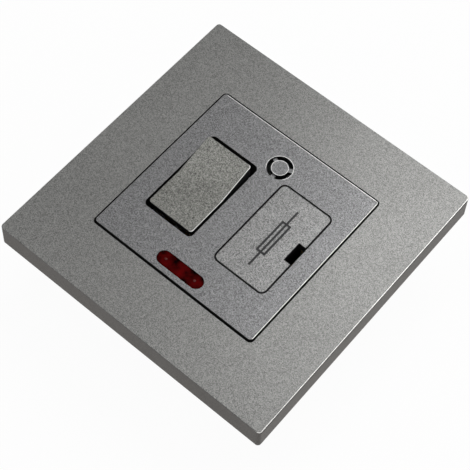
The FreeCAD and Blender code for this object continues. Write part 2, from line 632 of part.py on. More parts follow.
# rear housing: one moulding with a cell for each terminal and the fuse, and a seat for the switch insert
def make_rear_housing():
    piece = new_piece("rear_housing")
    half_wide = "housing_width / 2"
    half_tall = "housing_height / 2"
    depth = "(housing_depth - housing_wall)"
    pad(piece, "Block", "Z", "-housing_depth", "housing_depth", [centred("0", "0", half_wide, half_tall)])
    fillet(piece, "Corners", upright_at(corners("0", "0", half_wide, half_tall)), "housing_corner")
    chamfer(piece, "BackEdge", level_at("-housing_depth", half_wide, half_tall), "housing_edge")
    core_left = "(carrier_x + %s + core_wall)" % FUSE_CELL_HALF
    cells = [
        centred("carrier_x", "carrier_y", FUSE_CELL_HALF, FUSE_CELL_TALL),
        rectangle(core_left, INSERT_LEFT, "core_low", "core_high"),
        rectangle("load_neutral_x - %s" % CELL_HALF, "load_neutral_x + %s" % CELL_HALF,
                  "-%s" % INNER_Y, "-%s" % CELL_NEAR),
        rectangle("earth_left_x - %s" % CELL_HALF, "earth_right_x + %s" % CELL_HALF,
                  "-%s" % INNER_Y, "-%s" % CELL_NEAR),
    ]
    for x in ("supply_live_x", "supply_neutral_x", "carrier_x"):
        cells.append(rectangle("%s - %s" % (x, CELL_HALF), "%s + %s" % (x, CELL_HALF), CELL_NEAR, INNER_Y))
    pocket(piece, "Cells", "Z", "0", depth, cells)
    pocket(piece, "InsertSeat", "Z", "0", depth,
           [rectangle("%s - insert_play" % INSERT_LEFT, INNER_X, "%s - insert_play" % INSERT_LOW, CELL_NEAR)])
    fuse_corners = corners("carrier_x", "carrier_y", FUSE_CELL_HALF, FUSE_CELL_TALL)
    fillet(piece, "FuseCellCorners", upright_at(fuse_corners), "well_corner")
    channels = [
        rectangle("carrier_x + leg_half", INSERT_LEFT,
                  "rocker_y - %s" % STRAP_ROOM, "rocker_y + %s" % STRAP_ROOM),
        rectangle("carrier_x - %s" % STRAP_ROOM, "carrier_x + %s" % STRAP_ROOM,
                  "%s - overlap" % FUSE_CELL_TALL, "%s + overlap" % CELL_NEAR),
        rectangle(NEUTRAL_STRAP_LEFT, "load_neutral_x + block_width / 2 + screw_play",
                  "-%s - overlap" % CELL_NEAR, INSERT_LOW),
    ]
    pocket(piece, "Channels", "Z", "0", depth, channels)
    lead_room = "(resistor_radius + lamp_play)"
    pocket(piece, "LeadChannel", "Z", "0", "%s - lead_level" % lead_room,
           [rectangle("carrier_x + block_width / 2", "supply_live_x - block_width / 2",
                      "lamp_y - lead_spread / 2 - %s" % lead_room, "lamp_y + lead_spread / 2")])
    add_supports(piece)
    pocket(piece, "Duct", "Z", "0", "housing_depth", [circle("0", "outlet_y", "outlet_way")])
    pocket(piece, "FlexTrough", "Z", "exit_depth - housing_depth", "exit_depth",
           [rectangle("0", "exit_reach", "outlet_y - exit_half", "outlet_y + exit_half")])
    add_rear_openings(piece)
    return piece


def add_supports(piece):
    """Ribs and pedestals on the housing's floor."""
    sag = "sin(rocker_tilt)"
    rib_top = "(%s - (stop_reach + rib_wall / 2) * %s - rib_play)" % (LEVER_LEVEL, sag)
    ribs = [rectangle("%s - strap_half" % x, "%s + strap_half" % x,
                      "rocker_y - stop_reach - rib_wall / 2", "rocker_y - stop_reach + rib_wall / 2")
            for x in (LIVE_X, NEUTRAL_X)]
    pad(piece, "StopRibs", "Z", FLOOR, "%s - %s" % (rib_top, FLOOR), ribs)
    posts = [centred(x, "(rocker_y + lever_reach)", "contact_radius", "contact_radius")
             for x in (LIVE_X, NEUTRAL_X)]
    pad(piece, "ContactPosts", "Z", FLOOR, "%s - %s" % (STRAP_LEVEL, FLOOR), posts)
    seats = [centred("carrier_x", "(carrier_y %s clip_y)" % side, "fuse_radius", "(clip_half - screw_play)")
             for side in "+-"]
    pad(piece, "ClipPedestals", "Z", FLOOR, "%s - clip_wall - %s" % (CLIP_FLOOR, FLOOR), seats)


def make_switch_insert():
    """Drop-in moulding with three walls of the switch's cell and the barrier between its poles."""
    piece = new_piece("switch_insert")
    pad(piece, "Block", "Z", FLOOR, "-%s" % FLOOR,
        [rectangle(INSERT_LEFT, "%s - insert_play" % INNER_X, INSERT_LOW, "%s - insert_play" % CELL_NEAR)])
    pocket(piece, "Cell", "Z", "0", "-%s" % FLOOR, [rectangle(SWITCH_LEFT, INNER_X, SWITCH_LOW, SWITCH_HIGH)])
    gaps = [
        rectangle("%s - overlap" % INSERT_LEFT, "%s + overlap" % SWITCH_LEFT,
                  "rocker_y - %s" % STRAP_ROOM, "rocker_y + %s" % STRAP_ROOM),
        rectangle(NEUTRAL_STRAP_LEFT, INNER_X, "%s - overlap" % INSERT_LOW, "%s + overlap" % SWITCH_LOW),
    ]
    pocket(piece, "StrapGaps", "Z", "0", "-%s" % FLOOR, gaps)
    windows = [rectangle("%s - %s" % (x, STRAP_ROOM), "%s + %s" % (x, STRAP_ROOM),
                         "%s - overlap" % SWITCH_HIGH, CELL_NEAR) for x in (LIVE_X, NEUTRAL_X)]
    pocket(piece, "ContactWindows", "Z", "0", "-%s" % STRAP_LEVEL, windows)
    pad(piece, "Barrier", "Z", FLOOR, "-%s - well_foot" % FLOOR,
        [rectangle("rocker_x - cell_wall / 2", "rocker_x + cell_wall / 2",
                   "%s - overlap" % SWITCH_LOW, "%s + overlap" % SWITCH_HIGH)])


TERMINALS = [
    ("supply_live_terminal", "supply_live_x", "block_line"),
    ("supply_neutral_terminal", "supply_neutral_x", "block_line"),
    ("load_live_terminal", "carrier_x", "block_line"),
    ("load_neutral_terminal", "load_neutral_x", "-block_line"),
    ("earth_terminal_left", "earth_left_x", "-block_line"),
    ("earth_terminal_right", "earth_right_x", "-block_line"),
]


def add_rear_openings(piece):
    """Wire entries, screwdriver holes, the clamp's recess and the housing's screw holes."""
    upper = [circle(x, "(%s + wire_level)" % FLOOR, "wire_radius") for name, x, y in TERMINALS[:3]]
    lower = [circle(x, "(%s + wire_level)" % FLOOR, "wire_radius") for name, x, y in TERMINALS[3:]]
    pocket(piece, "UpperEntries", "Y", "housing_height / 2", "housing_wall", upper)
    pocket(piece, "LowerEntries", "Y", "-%s" % INNER_Y, "housing_wall", lower)
    access = [circle(x, y, "access_radius") for name, x, y in TERMINALS]
    pocket(piece, "DriverHoles", "Z", FLOOR, "housing_wall", access)
    room_wide = "(clamp_width / 2 + clamp_play)"
    room_tall = "(clamp_length / 2 + clamp_play)"
    pocket(piece, "ClampRecess", "Z", "(clamp_recess - housing_depth)", "clamp_recess",
           [centred("0", "outlet_y", room_wide, room_tall)])
    clamp_holes = [circle("0", "(outlet_y %s clamp_pitch / 2)" % side, "(clamp_screw_radius + screw_play)")
                   for side in "+-"]
    pocket(piece, "ClampHoles", "Z", "(clamp_recess - housing_depth + clamp_screw_reach)",
           "clamp_screw_reach", clamp_holes)
    spots = [("casing_screw_x", "casing_screw_y"), ("low_screw_x", "low_screw_y")]
    pocket(piece, "CasingHoles", "Z", "0", "housing_depth",
           [circle(x, y, "(casing_screw_radius + screw_play)") for x, y in spots])
    pocket(piece, "CasingHeadWells", "Z", "casing_head_level", "casing_head_level + housing_depth",
           [circle(x, y, "(casing_head_radius + lamp_play)") for x, y in spots])


# rocker: drawn level, then set tilted about its pins with its upper half pressed
def make_rocker():
    piece = new_piece("rocker", "rocker_x", "rocker_y", "rocker_pin_z", tilt="-rocker_tilt")
    reach = "rocker_half * cos(rocker_tilt)"
    top = "rocker_rise + rocker_half * sin(rocker_tilt)"
    outline = polygon([
        ("0", "rocker_rise"), ("-%s" % reach, top), ("-%s + rocker_lean" % reach, "pin_radius / 2"),
        ("-rocker_knee", "-rocker_skirt"), ("rocker_knee", "-rocker_skirt"),
        ("%s - rocker_lean" % reach, "pin_radius / 2"), (reach, top)])
    pad(piece, "Block", "X", "0", ROCKER_WIDTH, [outline], midplane=True)
    inside = "(%s - rocker_lean - rocker_wall)" % reach
    inner_top = "(%s - rocker_front - rocker_wall * sin(rocker_tilt))" % top
    low = "-(rocker_skirt + overlap)"
    hollow = polygon([
        ("0", "rocker_rise - rocker_front"), ("-%s" % inside, inner_top), ("-%s" % inside, low),
        (inside, low), (inside, inner_top)])
    round_rocker(piece)
    pocket(piece, "Hollow", "X", "0", "%s - 2 * rocker_wall" % ROCKER_WIDTH, [hollow], midplane=True)
    tubes = [circle("%spole_spread / 2" % side, "0", "tube_radius") for side in ("", "-")]
    pad(piece, "Tubes", "Z", "-tube_drop", "tube_drop + rocker_rise - rocker_front / 2", tubes)
    bores = [circle("%spole_spread / 2" % side, "0", "bore_radius") for side in ("", "-")]
    pocket(piece, "Bores", "Z", "bore_top", "bore_top + tube_drop", bores)
    for side, name in (("", "RightPin"), ("-", "LeftPin")):
        start = "%s(%s / 2 + pin_length / 2)" % (side, ROCKER_WIDTH)
        pad(piece, name, "X", start, "pin_length", [circle("0", "0", "pin_radius")], midplane=True)
    return piece


def round_rocker(piece):
    """Round the rocker's four end corners and then the rim of its face."""
    half = value("%s / 2" % ROCKER_WIDTH)
    reach = value("rocker_half * cos(rocker_tilt)")
    lean = value("rocker_lean")
    rise = value("rocker_rise")
    slope = math.tan(math.radians(value("rocker_tilt")))

    def end_corner(edge):
        box = edge.BoundBox
        at_side = box.XLength < LEVEL and abs(abs(box.XMin) - half) < LEVEL
        at_end = abs(edge.CenterOfMass.y) > reach - lean
        return at_side and at_end and box.ZLength > box.YLength

    def on_face(point):
        return abs(point.z - rise - abs(point.y) * slope) < LEVEL

    def face_rim(edge):
        middle = edge.valueAt((edge.FirstParameter + edge.LastParameter) / 2)
        at_kink = abs(middle.y) < LEVEL
        return on_face(middle) and not at_kink and all(on_face(end.Point) for end in edge.Vertexes)

    fillet(piece, "EndCorners", end_corner, "rocker_corner")
    fillet(piece, "FaceRim", face_rim, "rocker_edge")


def make_plunger(label, x):
    """Nylon plunger with a round tip, in a tube of the rocker."""
    piece = new_piece(label, x, "rocker_y", "rocker_pin_z", tilt="-rocker_tilt")
    tip = "(plunger_play - %s)" % LEVER_DROP
    pad(piece, "Shank", "Z", tip, "-plunger_top - %s" % tip, [circle("0", "0", "plunger_radius")])
    low = value(tip)
    fillet(piece, "Tip", lambda edge: abs(edge.BoundBox.ZMax - low) < LEVEL, "plunger_radius - plunger_play")
    return piece


def make_spring(label, x):
    """Compression spring over a plunger, drawn as a stack of turns on a thin core."""
    piece = new_piece(label, x, "rocker_y", "rocker_pin_z", tilt="-rocker_tilt")
    length = "(bore_top + plunger_top - plunger_play)"
    start = "(plunger_play / 2 - plunger_top)"
    inside = circle("0", "0", "spring_radius - spring_wire")
    pad(piece, "Core", "Z", start, length, [circle("0", "0", "spring_radius - spring_wire / 2"), inside])
    pad(piece, "Turn", "Z", start, "spring_wire", [circle("0", "0", "spring_radius"), inside])
    pattern = piece.newObject("PartDesign::LinearPattern", "Turns")
    pattern.Originals = [piece.Group[-2]]
    pattern.Direction = (origin_item(piece, "Z_Axis"), [""])
    pattern.setExpression("Length", bound("%s - spring_wire" % length))
    pattern.setExpression("Occurrences", bound("spring_turns"))
    piece.Tip = pattern
    doc.recompute()
    return piece


# contact lever: a strip that rocks on its bracket's rounded edge, set with its contact end raised
def make_lever(label, x):
    piece = new_piece(label, x, "rocker_y", LEVER_LEVEL, tilt="rocker_tilt")
    groove = "(knife_radius + knife_play)"
    mouth = "(%s + ear_drop * tan(2 * rocker_tilt))" % groove
    outline = polygon([
        ("-lever_back", "lever_wall"), ("-lever_back", "0"), ("-ear_half", "0"), ("-ear_half", "-ear_drop"),
        ("-%s" % mouth, "-ear_drop"), ("-%s" % groove, "0"), (groove, "0"), (mouth, "-ear_drop"),
        ("ear_half", "-ear_drop"), ("ear_half", "0"), ("lever_front", "0"), ("lever_front", "lever_wall")])
    pad(piece, "Strip", "X", "0", "2 * strap_half", [outline], midplane=True)
    pocket(piece, "Groove", "X", "0", "2 * strap_half", [circle("0", "0", groove)], midplane=True)
    return piece


def make_moving_contact(label, x):
    """Domed contact riveted under the lever's raised end."""
    piece = new_piece(label, x, "rocker_y", LEVER_LEVEL, tilt="rocker_tilt")
    sketch = piece.newObject("Sketcher::SketchObject", "Profile")
    sketch.AttachmentSupport = [(origin_item(piece, "YZ_Plane"), "")]
    sketch.MapMode = "FlatFace"
    sketch.setExpression("AttachmentOffset.Base.x", bound("lever_reach"))
    radius = value("contact_radius")
    wall = value("contact_wall")
    dome = value("contact_dome")
    rim = "contact_dome - contact_wall - sqrt(contact_dome ^ 2 - contact_radius ^ 2)"
    lowest = -math.pi / 2
    centre = V(0, dome - wall, 0)
    top_line = Part.LineSegment(V(radius, 0, 0), V(0, 0, 0))
    axis_line = Part.LineSegment(V(0, 0, 0), V(0, -wall, 0))
    arc = Part.ArcOfCircle(Part.Circle(centre, V(0, 0, 1), dome), lowest, lowest + math.asin(radius / dome))
    rim_line = Part.LineSegment(V(radius, value(rim), 0), V(radius, 0, 0))
    for line in (top_line, axis_line, arc, rim_line):
        sketch.addGeometry(line, False)
    for index in range(4):
        sketch.addConstraint(Sketcher.Constraint("Coincident", index, 2, (index + 1) % 4, 1))
    fixed(sketch, "DistanceX", 0, 1, "contact_radius")
    fixed(sketch, "DistanceY", 0, 1, "0")
    fixed(sketch, "DistanceX", 1, 1, "0")
    fixed(sketch, "DistanceY", 1, 1, "0")
    fixed(sketch, "DistanceX", 2, 1, "0")
    fixed(sketch, "DistanceY", 2, 1, "-contact_wall")
    fixed(sketch, "DistanceX", 3, 1, "contact_radius")
    fixed(sketch, "DistanceY", 3, 1, rim)
    fixed(sketch, "DistanceX", 2, 3, "0")
    turned = piece.newObject("PartDesign::Revolution", "Contact")
    turned.Profile = sketch
    turned.ReferenceAxis = (sketch, ["V_Axis"])
    turned.Angle = 360
    doc.recompute()
    return piece


def make_bracket(label, x, feet):
    """Brass bracket that carries a lever on its rounded upper edge, with its strap on the floor."""
    piece = new_piece(label)
    pad(piece, "Upright", "Z", FLOOR, "lever_rise", [centred(x, "rocker_y", "strap_half", "knife_radius")])
    pad(piece, "Knife", "X", x, "2 * strap_half", [circle("rocker_y", LEVER_LEVEL, "knife_radius")],
        midplane=True)
    for number, foot in enumerate(feet):
        pad(piece, "Foot%d" % number, "Z", FLOOR, "strap_wall", [foot])
    return piece


def make_brackets():
    """Live bracket, with its strap to the lower fuse clip, and neutral one, with its strap to the load."""
    low = "(rocker_y - strap_half)"
    high = "(rocker_y + strap_half)"
    stem = "(carrier_y - clip_y + clip_half)"
    live_feet = [
        rectangle("carrier_x - strap_half", "%s + strap_half" % LIVE_X, low, high),
        rectangle("carrier_x - strap_half", "carrier_x + strap_half", "%s + screw_play" % stem,
                  "%s + overlap" % low)]
    right = "(load_neutral_x + block_width / 2)"
    neutral_feet = [
        rectangle("%s - strap_half" % NEUTRAL_X, right, low, high),
        rectangle("%s - neutral_strap_width" % right, right, "block_length / 2 - block_line",
                  "%s + overlap" % low)]
    make_bracket("live_bracket", LIVE_X, live_feet)
    make_bracket("neutral_bracket", NEUTRAL_X, neutral_feet)


def make_fixed_contact(label, x):
    """Strap from a supply terminal to the place under the moving contact, with its riveted contact."""
    piece = new_piece(label)
    pad(piece, "Strap", "Z", STRAP_LEVEL, "strap_wall",
        [rectangle("%s - strap_half" % x, "%s + strap_half" % x, "rocker_y + lever_reach - contact_radius",
                   "block_line + block_length / 2 - block_play")])
    tip = new_piece(label + "_tip")
    meeting = ("(%s - lever_reach * sin(rocker_tilt) + (contact_dome - contact_wall) * cos(rocker_tilt)"
               " - contact_dome - contact_play)" % LEVER_LEVEL)
    pad(tip, "Disc", "Z", STRAP_TOP, "%s - %s" % (meeting, STRAP_TOP),
        [circle(x, "(rocker_y + lever_reach)", "contact_radius")])
    return piece


# fuse carrier: a face with a finger notch, a cradle that grips the fuse and two legs with stop lugs
def make_fuse_carrier():
    piece = new_piece("fuse_carrier", "carrier_x", "carrier_y")
    half_wide = "carrier_width / 2"
    half_tall = "carrier_length / 2"
    cradle = "(fuse_radius + cradle_play + cradle_wall)"
    roof = "(fuse_level + fuse_radius + lug_play)"
    pad(piece, "Face", "Z", FACE_UNDER, "face_front", [centred("0", "0", half_wide, half_tall)])
    fillet(piece, "Corners", upright_at(corners("0", "0", half_wide, half_tall)), "carrier_corner")
    pocket(piece, "Notch", "Z", FACE_TOP, "face_front",
           [rectangle("-%s - overlap" % half_wide, "-%s + notch_depth" % half_wide, "-notch_length / 2",
                      "notch_length / 2")])
    pad(piece, "Roof", "Z", roof, "%s - %s" % (FACE_UNDER, roof), [centred("0", "0", cradle, LEG_OUTER)])
    cheek_foot = "(fuse_level - cradle_drop)"
    pad(piece, "Cheeks", "Z", cheek_foot, "%s - %s" % (roof, cheek_foot),
        [centred("0", "0", cradle, "cradle_half")])
    pocket(piece, "Cradle", "Y", "cradle_half", "2 * cradle_half",
           [circle("0", "fuse_level", "(fuse_radius + cradle_play)")])
    legs = []
    lugs = []
    for side in ("", "-"):
        legs.append(centred("0", "%s(%s - leg_wall / 2)" % (side, LEG_OUTER), "leg_half", "leg_wall / 2"))
        lugs.append(centred("0", "%s(%s + lug_out / 2)" % (side, LEG_OUTER), "leg_half", "lug_out / 2"))
    pad(piece, "Legs", "Z", "leg_foot", "%s - leg_foot" % roof, legs)
    pad(piece, "Lugs", "Z", "leg_foot", "lug_height", lugs)
    fillet(piece, "FaceEdge", level_at(FACE_TOP, half_wide, half_tall), "carrier_edge")
    return piece


def make_fuse():
    """Ceramic fuse body and its two brass end caps."""
    body = new_piece("fuse_body", "carrier_x", "carrier_y", "fuse_level")
    inside = "(fuse_length - 2 * cap_wall)"
    pad(body, "Tube", "Y", "0", inside, [circle("0", "0", "(fuse_radius - cap_wall)")], midplane=True)
    caps = new_piece("fuse_end_caps", "carrier_x", "carrier_y", "fuse_level")
    pad(caps, "Caps", "Y", "0", "fuse_length", [circle("0", "0", "fuse_radius")], midplane=True)
    pocket(caps, "Inside", "Y", "0", inside, [circle("0", "0", "(fuse_radius - cap_wall)")], midplane=True)
    pocket(caps, "Between", "Y", "0", "fuse_length - 2 * cap_length",
           [circle("0", "0", "(fuse_radius + cap_wall)")], midplane=True)
    return body


def make_fuse_clip(label, side, strap):
    """Spring clip for one end cap: two arms on a base, a stem down the pedestal and a foot."""
    piece = new_piece(label)
    middle = "(carrier_y %s clip_y)" % side
    inner = "(fuse_radius + clip_play)"
    outer = "(%s + clip_wall)" % inner
    arm_top = "(fuse_level + clip_reach)"
    base = "(%s - clip_wall)" % CLIP_FLOOR
    back = "(carrier_y %s (clip_y - clip_half))" % side
    bend = "(%s - clip_bend)" % arm_top
    left = "carrier_x - "
    right = "carrier_x + "
    outline = polygon([
        (left + outer, base), (right + outer, base), (right + outer, bend),
        (right + "(%s + clip_flare)" % outer, arm_top), (right + "(%s + clip_flare)" % inner, arm_top),
        (right + inner, bend), (right + inner, CLIP_FLOOR),
        (left + inner, CLIP_FLOOR), (left + inner, bend),
        (left + "(%s + clip_flare)" % inner, arm_top), (left + "(%s + clip_flare)" % outer, arm_top),
        (left + outer, bend)])
    pad(piece, "Arms", "Y", middle, "2 * clip_half", [outline], midplane=True)
    towards = "-" if side == "+" else "+"
    stem = "(%s %s clip_wall / 2)" % (back, towards)
    foot = FOOT_TOP if side == "-" else FLOOR
    pad(piece, "Stem", "Z", foot, "%s - %s" % (CLIP_FLOOR, foot),
        [centred("carrier_x", stem, "strap_half", "clip_wall / 2")])
    for number, outline in enumerate(strap):
        pad(piece, "Strap%d" % number, "Z", foot, "clip_wall" if side == "-" else "strap_wall", [outline])
    return piece


def make_fuse_clips():
    """Upper clip, with its strap to the load terminal, and lower one, which stands on the live strap."""
    half = "strap_half"
    seat_edge = "(carrier_y - clip_y + clip_half)"
    lower = [rectangle("carrier_x - " + half, "carrier_x + " + half,
                       seat_edge, "%s + 2 * clip_half" % seat_edge)]
    start = "(carrier_y + clip_y - clip_half - clip_wall)"
    beside = "(carrier_x + fuse_radius + screw_play)"
    wide = "neutral_strap_width"
    far = "(carrier_y + clip_y + clip_half)"
    upper = [
        rectangle("carrier_x - " + half, "%s + %s" % (beside, wide), "%s - %s" % (start, wide), start),
        rectangle(beside, "%s + %s" % (beside, wide), "%s - overlap" % start, "%s + %s" % (far, wide)),
        rectangle("carrier_x - " + half, "%s + %s" % (beside, wide), "%s + screw_play" % far,
                  "%s + %s" % (far, wide)),
        rectangle("carrier_x - " + half, "carrier_x + " + half, "%s + %s - overlap" % (far, wide),
                  "block_line - block_length / 2")]
    make_fuse_clip("lower_fuse_clip", "-", lower)
    make_fuse_clip("upper_fuse_clip", "+", upper)


def make_terminal(label, x, y):
    """Brass terminal with a wire hole and a tapped hole for its screw."""
    piece = new_piece(label, x, y, FLOOR)
    pad(piece, "Block", "Z", "0", "block_height", [centred("0", "0", "block_width / 2", "block_length / 2")])
    pocket(piece, "WireHole", "Y", "block_length / 2", "block_length",
           [circle("0", "wire_level", "wire_radius")])
    pocket(piece, "ScrewHole", "Z", "wire_level", "wire_level",
           [circle("0", "0", "(screw_radius + screw_play)")])
    return piece


def make_terminal_screws():
    """The six terminal screws, backed off so that their tips just reach the wire holes."""
    piece = new_piece("terminal_screws", z=FLOOR)
    tip = "(wire_level - wire_radius)"
    spots = [(x, y) for name, x, y in TERMINALS]
    pad(piece, "Heads", "Z", "-head_height - screw_play", "head_height",
        [circle(x, y, "head_radius") for x, y in spots])
    pad(piece, "Shanks", "Z", "-screw_play", "%s + screw_play" % tip,
        [circle(x, y, "screw_radius") for x, y in spots])
    pocket(piece, "Slots", "Z", "head_slot_depth - head_height - screw_play", "head_slot_depth",
           [centred(x, y, "(head_radius + screw_play)", "head_slot / 2") for x, y in spots])
    return piece


def make_earth_strap():
    """Brass strap that joins the two earth terminals."""
    piece = new_piece("earth_strap")
    pad(piece, "Strap", "Z", STRAP_LEVEL, "strap_wall",
        [rectangle("earth_left_x - block_width / 2 + block_play",
                   "earth_right_x + block_width / 2 - block_play",
                   "-block_line - strap_half", "-block_line + strap_half")])
    return piece


# indicator: the lens, the neon lamp behind it, its series resistor and its two leads
def make_neon_lens():
    piece = new_piece("neon_lens", "0", "lens_y")
    pad(piece, "Window", "Z", "%s - lens_lip_wall" % FACE_UNDER, "face_front + lens_lip_wall - lens_sunk",
        [obround("0", "0", "lens_length / 2", "lens_height / 2")])
    pad(piece, "Lip", "Z", "%s - lens_lip_wall" % FACE_UNDER, "lens_lip_wall",
        [obround("0", "0", "(lens_length / 2 + lens_end_lip)", "(lens_height / 2 + lens_lip)")])
    return piece


def make_neon_lamp():
    piece = new_piece("neon_lamp", "0", "lamp_y", "lamp_level")
    pad(piece, "Bulb", "X", "0", "lamp_length", [circle("0", "0", "lamp_radius")], midplane=True)
    half = value("lamp_length / 2")
    fillet(piece, "Ends", lambda edge: abs(abs(edge.CenterOfMass.x) - half) < LEVEL, "lamp_edge")
    return piece


def bent_path(points, bend):
    """Wire of straight runs joined by round bends."""
    edges = []
    start = points[0]
    for before, corner, after in zip(points, points[1:], points[2:]):
        inward = (before - corner).normalize()
        outward = (after - corner).normalize()
        half_angle = inward.getAngle(outward) / 2
        entry = corner + inward * (bend / math.tan(half_angle))
        leave = corner + outward * (bend / math.tan(half_angle))
        crown = corner + (inward + outward).normalize() * (bend / math.sin(half_angle) - bend)
        edges.append(Part.LineSegment(start, entry).toShape())
        edges.append(Part.Arc(entry, crown, leave).toShape())
        start = leave
    edges.append(Part.LineSegment(start, points[-1]).toShape())
    return Part.Wire(edges)


def make_lead(label, places):
    """Round wire along a route of formulas."""
    points = [V(value(x), value(y), value(z)) for x, y, z in places]
    path = bent_path(points, value("lead_bend"))
    section = Part.Wire([Part.Circle(points[0], points[1] - points[0], value("lead_radius")).toShape()])
    piece = doc.addObject("Part::Feature", label)
    piece.Label = label
    piece.Shape = path.makePipeShell([section], True, False)
    piece.Placement = FreeCAD.Placement(V(0, 0, 0), FreeCAD.Rotation())
    run = math.pi * value("lead_radius") ** 2 * path.Length
    if abs(piece.Shape.Volume - run) > run / 50:
        raise RuntimeError("%s has a wrong volume" % label)
    return piece


def make_lamp_leads():
    """Short lead to the supply neutral strap, and one that returns through the resistor to the load."""
    end = "lamp_length / 2"
    high = "(lamp_y + lead_spread / 2)"
    low = "(lamp_y - lead_spread / 2)"
    neutral = "(supply_neutral_x - strap_half)"
    load = "(carrier_x + block_width / 4)"
    make_lead("neutral_lead", [(end, high, "lamp_level"), (neutral, high, "lamp_level"),
                               (neutral, high, STRAP_TOP)])
    turn = "(%s + lead_turn)" % end
    stop = "resistor_length / 2"
    make_lead("lamp_lead", [(end, low, "lamp_level"), (turn, low, "lamp_level"), (turn, low, "lead_level"),
                            (stop, low, "lead_level")])
    make_lead("load_lead", [("-%s" % stop, low, "lead_level"), (load, low, "lead_level"),
                            (load, low, STRAP_LEVEL)])
    piece = new_piece("series_resistor", "0", low, "lead_level")
    pad(piece, "Body", "X", "0", "resistor_length", [circle("0", "0", "resistor_radius")], midplane=True)
    half = value("resistor_length / 2")
    fillet(piece, "Ends", lambda edge: abs(abs(edge.CenterOfMass.x) - half) < LEVEL,
           "resistor_edge")


# cord clamp: a bar with a groove for the flex, and its two screws
def make_cord_clamp():
    seat = "(clamp_recess - housing_depth)"
    piece = new_piece("cord_clamp", "0", "outlet_y", "%s - clamp_height" % seat)
    half_wide = "clamp_width / 2"
    half_tall = "clamp_length / 2"
    pad(piece, "Bar", "Z", "0", "clamp_height", [centred("0", "0", half_wide, half_tall)])
    pocket(piece, "Groove", "X", "0", "clamp_width",
           [circle("0", "(clamp_height + clamp_groove - groove_depth)", "clamp_groove")], midplane=True)
    spots = [("0", "%sclamp_pitch / 2" % side) for side in ("", "-")]
    pocket(piece, "Holes", "Z", "clamp_height", "clamp_height",
           [circle(x, y, "(clamp_screw_radius + screw_play)") for x, y in spots])
    pocket(piece, "HeadSeats", "Z", "clamp_head_height", "clamp_head_height",
           [circle(x, y, "(clamp_head_radius + screw_play)") for x, y in spots])
    fillet(piece, "Corners", upright_at(corners("0", "0", half_wide, half_tall)), "clamp_corner")
    screws = new_piece("clamp_screws", "0", "outlet_y", "%s - clamp_height" % seat)
    pad(screws, "Shanks", "Z", "clamp_head_height", "clamp_height - clamp_head_height + clamp_screw_reach"
        " - screw_play", [circle(x, y, "clamp_screw_radius") for x, y in spots])
    pad(screws, "Heads", "Z", "screw_play", "clamp_head_height - screw_play",
        [circle(x, y, "clamp_head_radius") for x, y in spots])
    pocket(screws, "Slots", "Z", "clamp_head_height / 2 + screw_play", "clamp_head_height / 2",
           [centred(x, y, "(clamp_head_radius + screw_play)", "head_slot / 2") for x, y in spots])


def make_housing_screws():
    """The two screws that hold the housing to the flange, with slotted heads."""
    piece = new_piece("housing_screws")
    spots = [("casing_screw_x", "casing_screw_y"), ("low_screw_x", "low_screw_y")]
    pad(piece, "Shanks", "Z", "casing_head_level", "casing_screw_reach - casing_head_level",
        [circle(x, y, "casing_screw_radius") for x, y in spots])
    pad(piece, "Heads", "Z", "casing_head_level - head_height - screw_play", "head_height",
        [circle(x, y, "casing_head_radius") for x, y in spots])
    pad(piece, "Necks", "Z", "casing_head_level - screw_play", "screw_play",
        [circle(x, y, "casing_screw_radius") for x, y in spots])
    pocket(piece, "Slots", "Z", "casing_head_level - head_height - screw_play + head_slot_depth",
           "head_slot_depth", [centred(x, y, "(casing_head_radius + screw_play)", "head_slot / 2")
                               for x, y in spots])
    return piece


def make_all():
    """Every piece, from the front to the back."""
    make_front_frame()
    make_fascia()
    make_neon_lens()
    make_neon_lamp()
    make_lamp_leads()
    make_rocker()
    for pole, x in (("live", LIVE_X), ("neutral", NEUTRAL_X)):
        make_plunger(pole + "_plunger", x)
        make_spring(pole + "_spring", x)
        make_lever(pole + "_lever", x)
        make_moving_contact(pole + "_moving_contact", x)
        make_fixed_contact(pole + "_fixed_contact", x)
    make_brackets()
    make_fuse_carrier()
    make_fuse()
    make_fuse_clips()
    for label, x, y in TERMINALS:
        make_terminal(label, x, y)
    make_terminal_screws()
    make_earth_strap()
    make_rear_housing()
    make_switch_insert()
    make_housing_screws()
    make_cord_clamp()


def check_and_write():
    """Stop at any failed object or broken shape, then write each piece to its own file."""
    doc.recompute()
    for item in doc.Objects:
        if {"Invalid", "Error"} & set(item.State):
            raise RuntimeError("%s failed: %s" % (item.Label, item.State))
    pieces = [item for item in doc.Objects if item.TypeId in ("PartDesign::Body", "Part::Feature")]
    for piece in pieces:
        if piece.Shape.isNull() or not piece.Shape.isValid():
            raise RuntimeError("%s has a broken shape" % piece.Label)
    os.makedirs("parts", exist_ok=True)
    for piece in pieces:
        piece.Shape.exportStep("parts/%s.step" % piece.Label)
        box = piece.Shape.BoundBox
        print("%-24s %2d solids %9.2f mm3  x %7.2f %7.2f  y %7.2f %7.2f  z %7.2f %7.2f" % (
            piece.Label, len(piece.Shape.Solids), piece.Shape.Volume,
            box.XMin, box.XMax, box.YMin, box.YMax, box.ZMin, box.ZMax))


make_all()
check_and_write()
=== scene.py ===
import json
import math

import bpy
from mathutils import Matrix, Vector


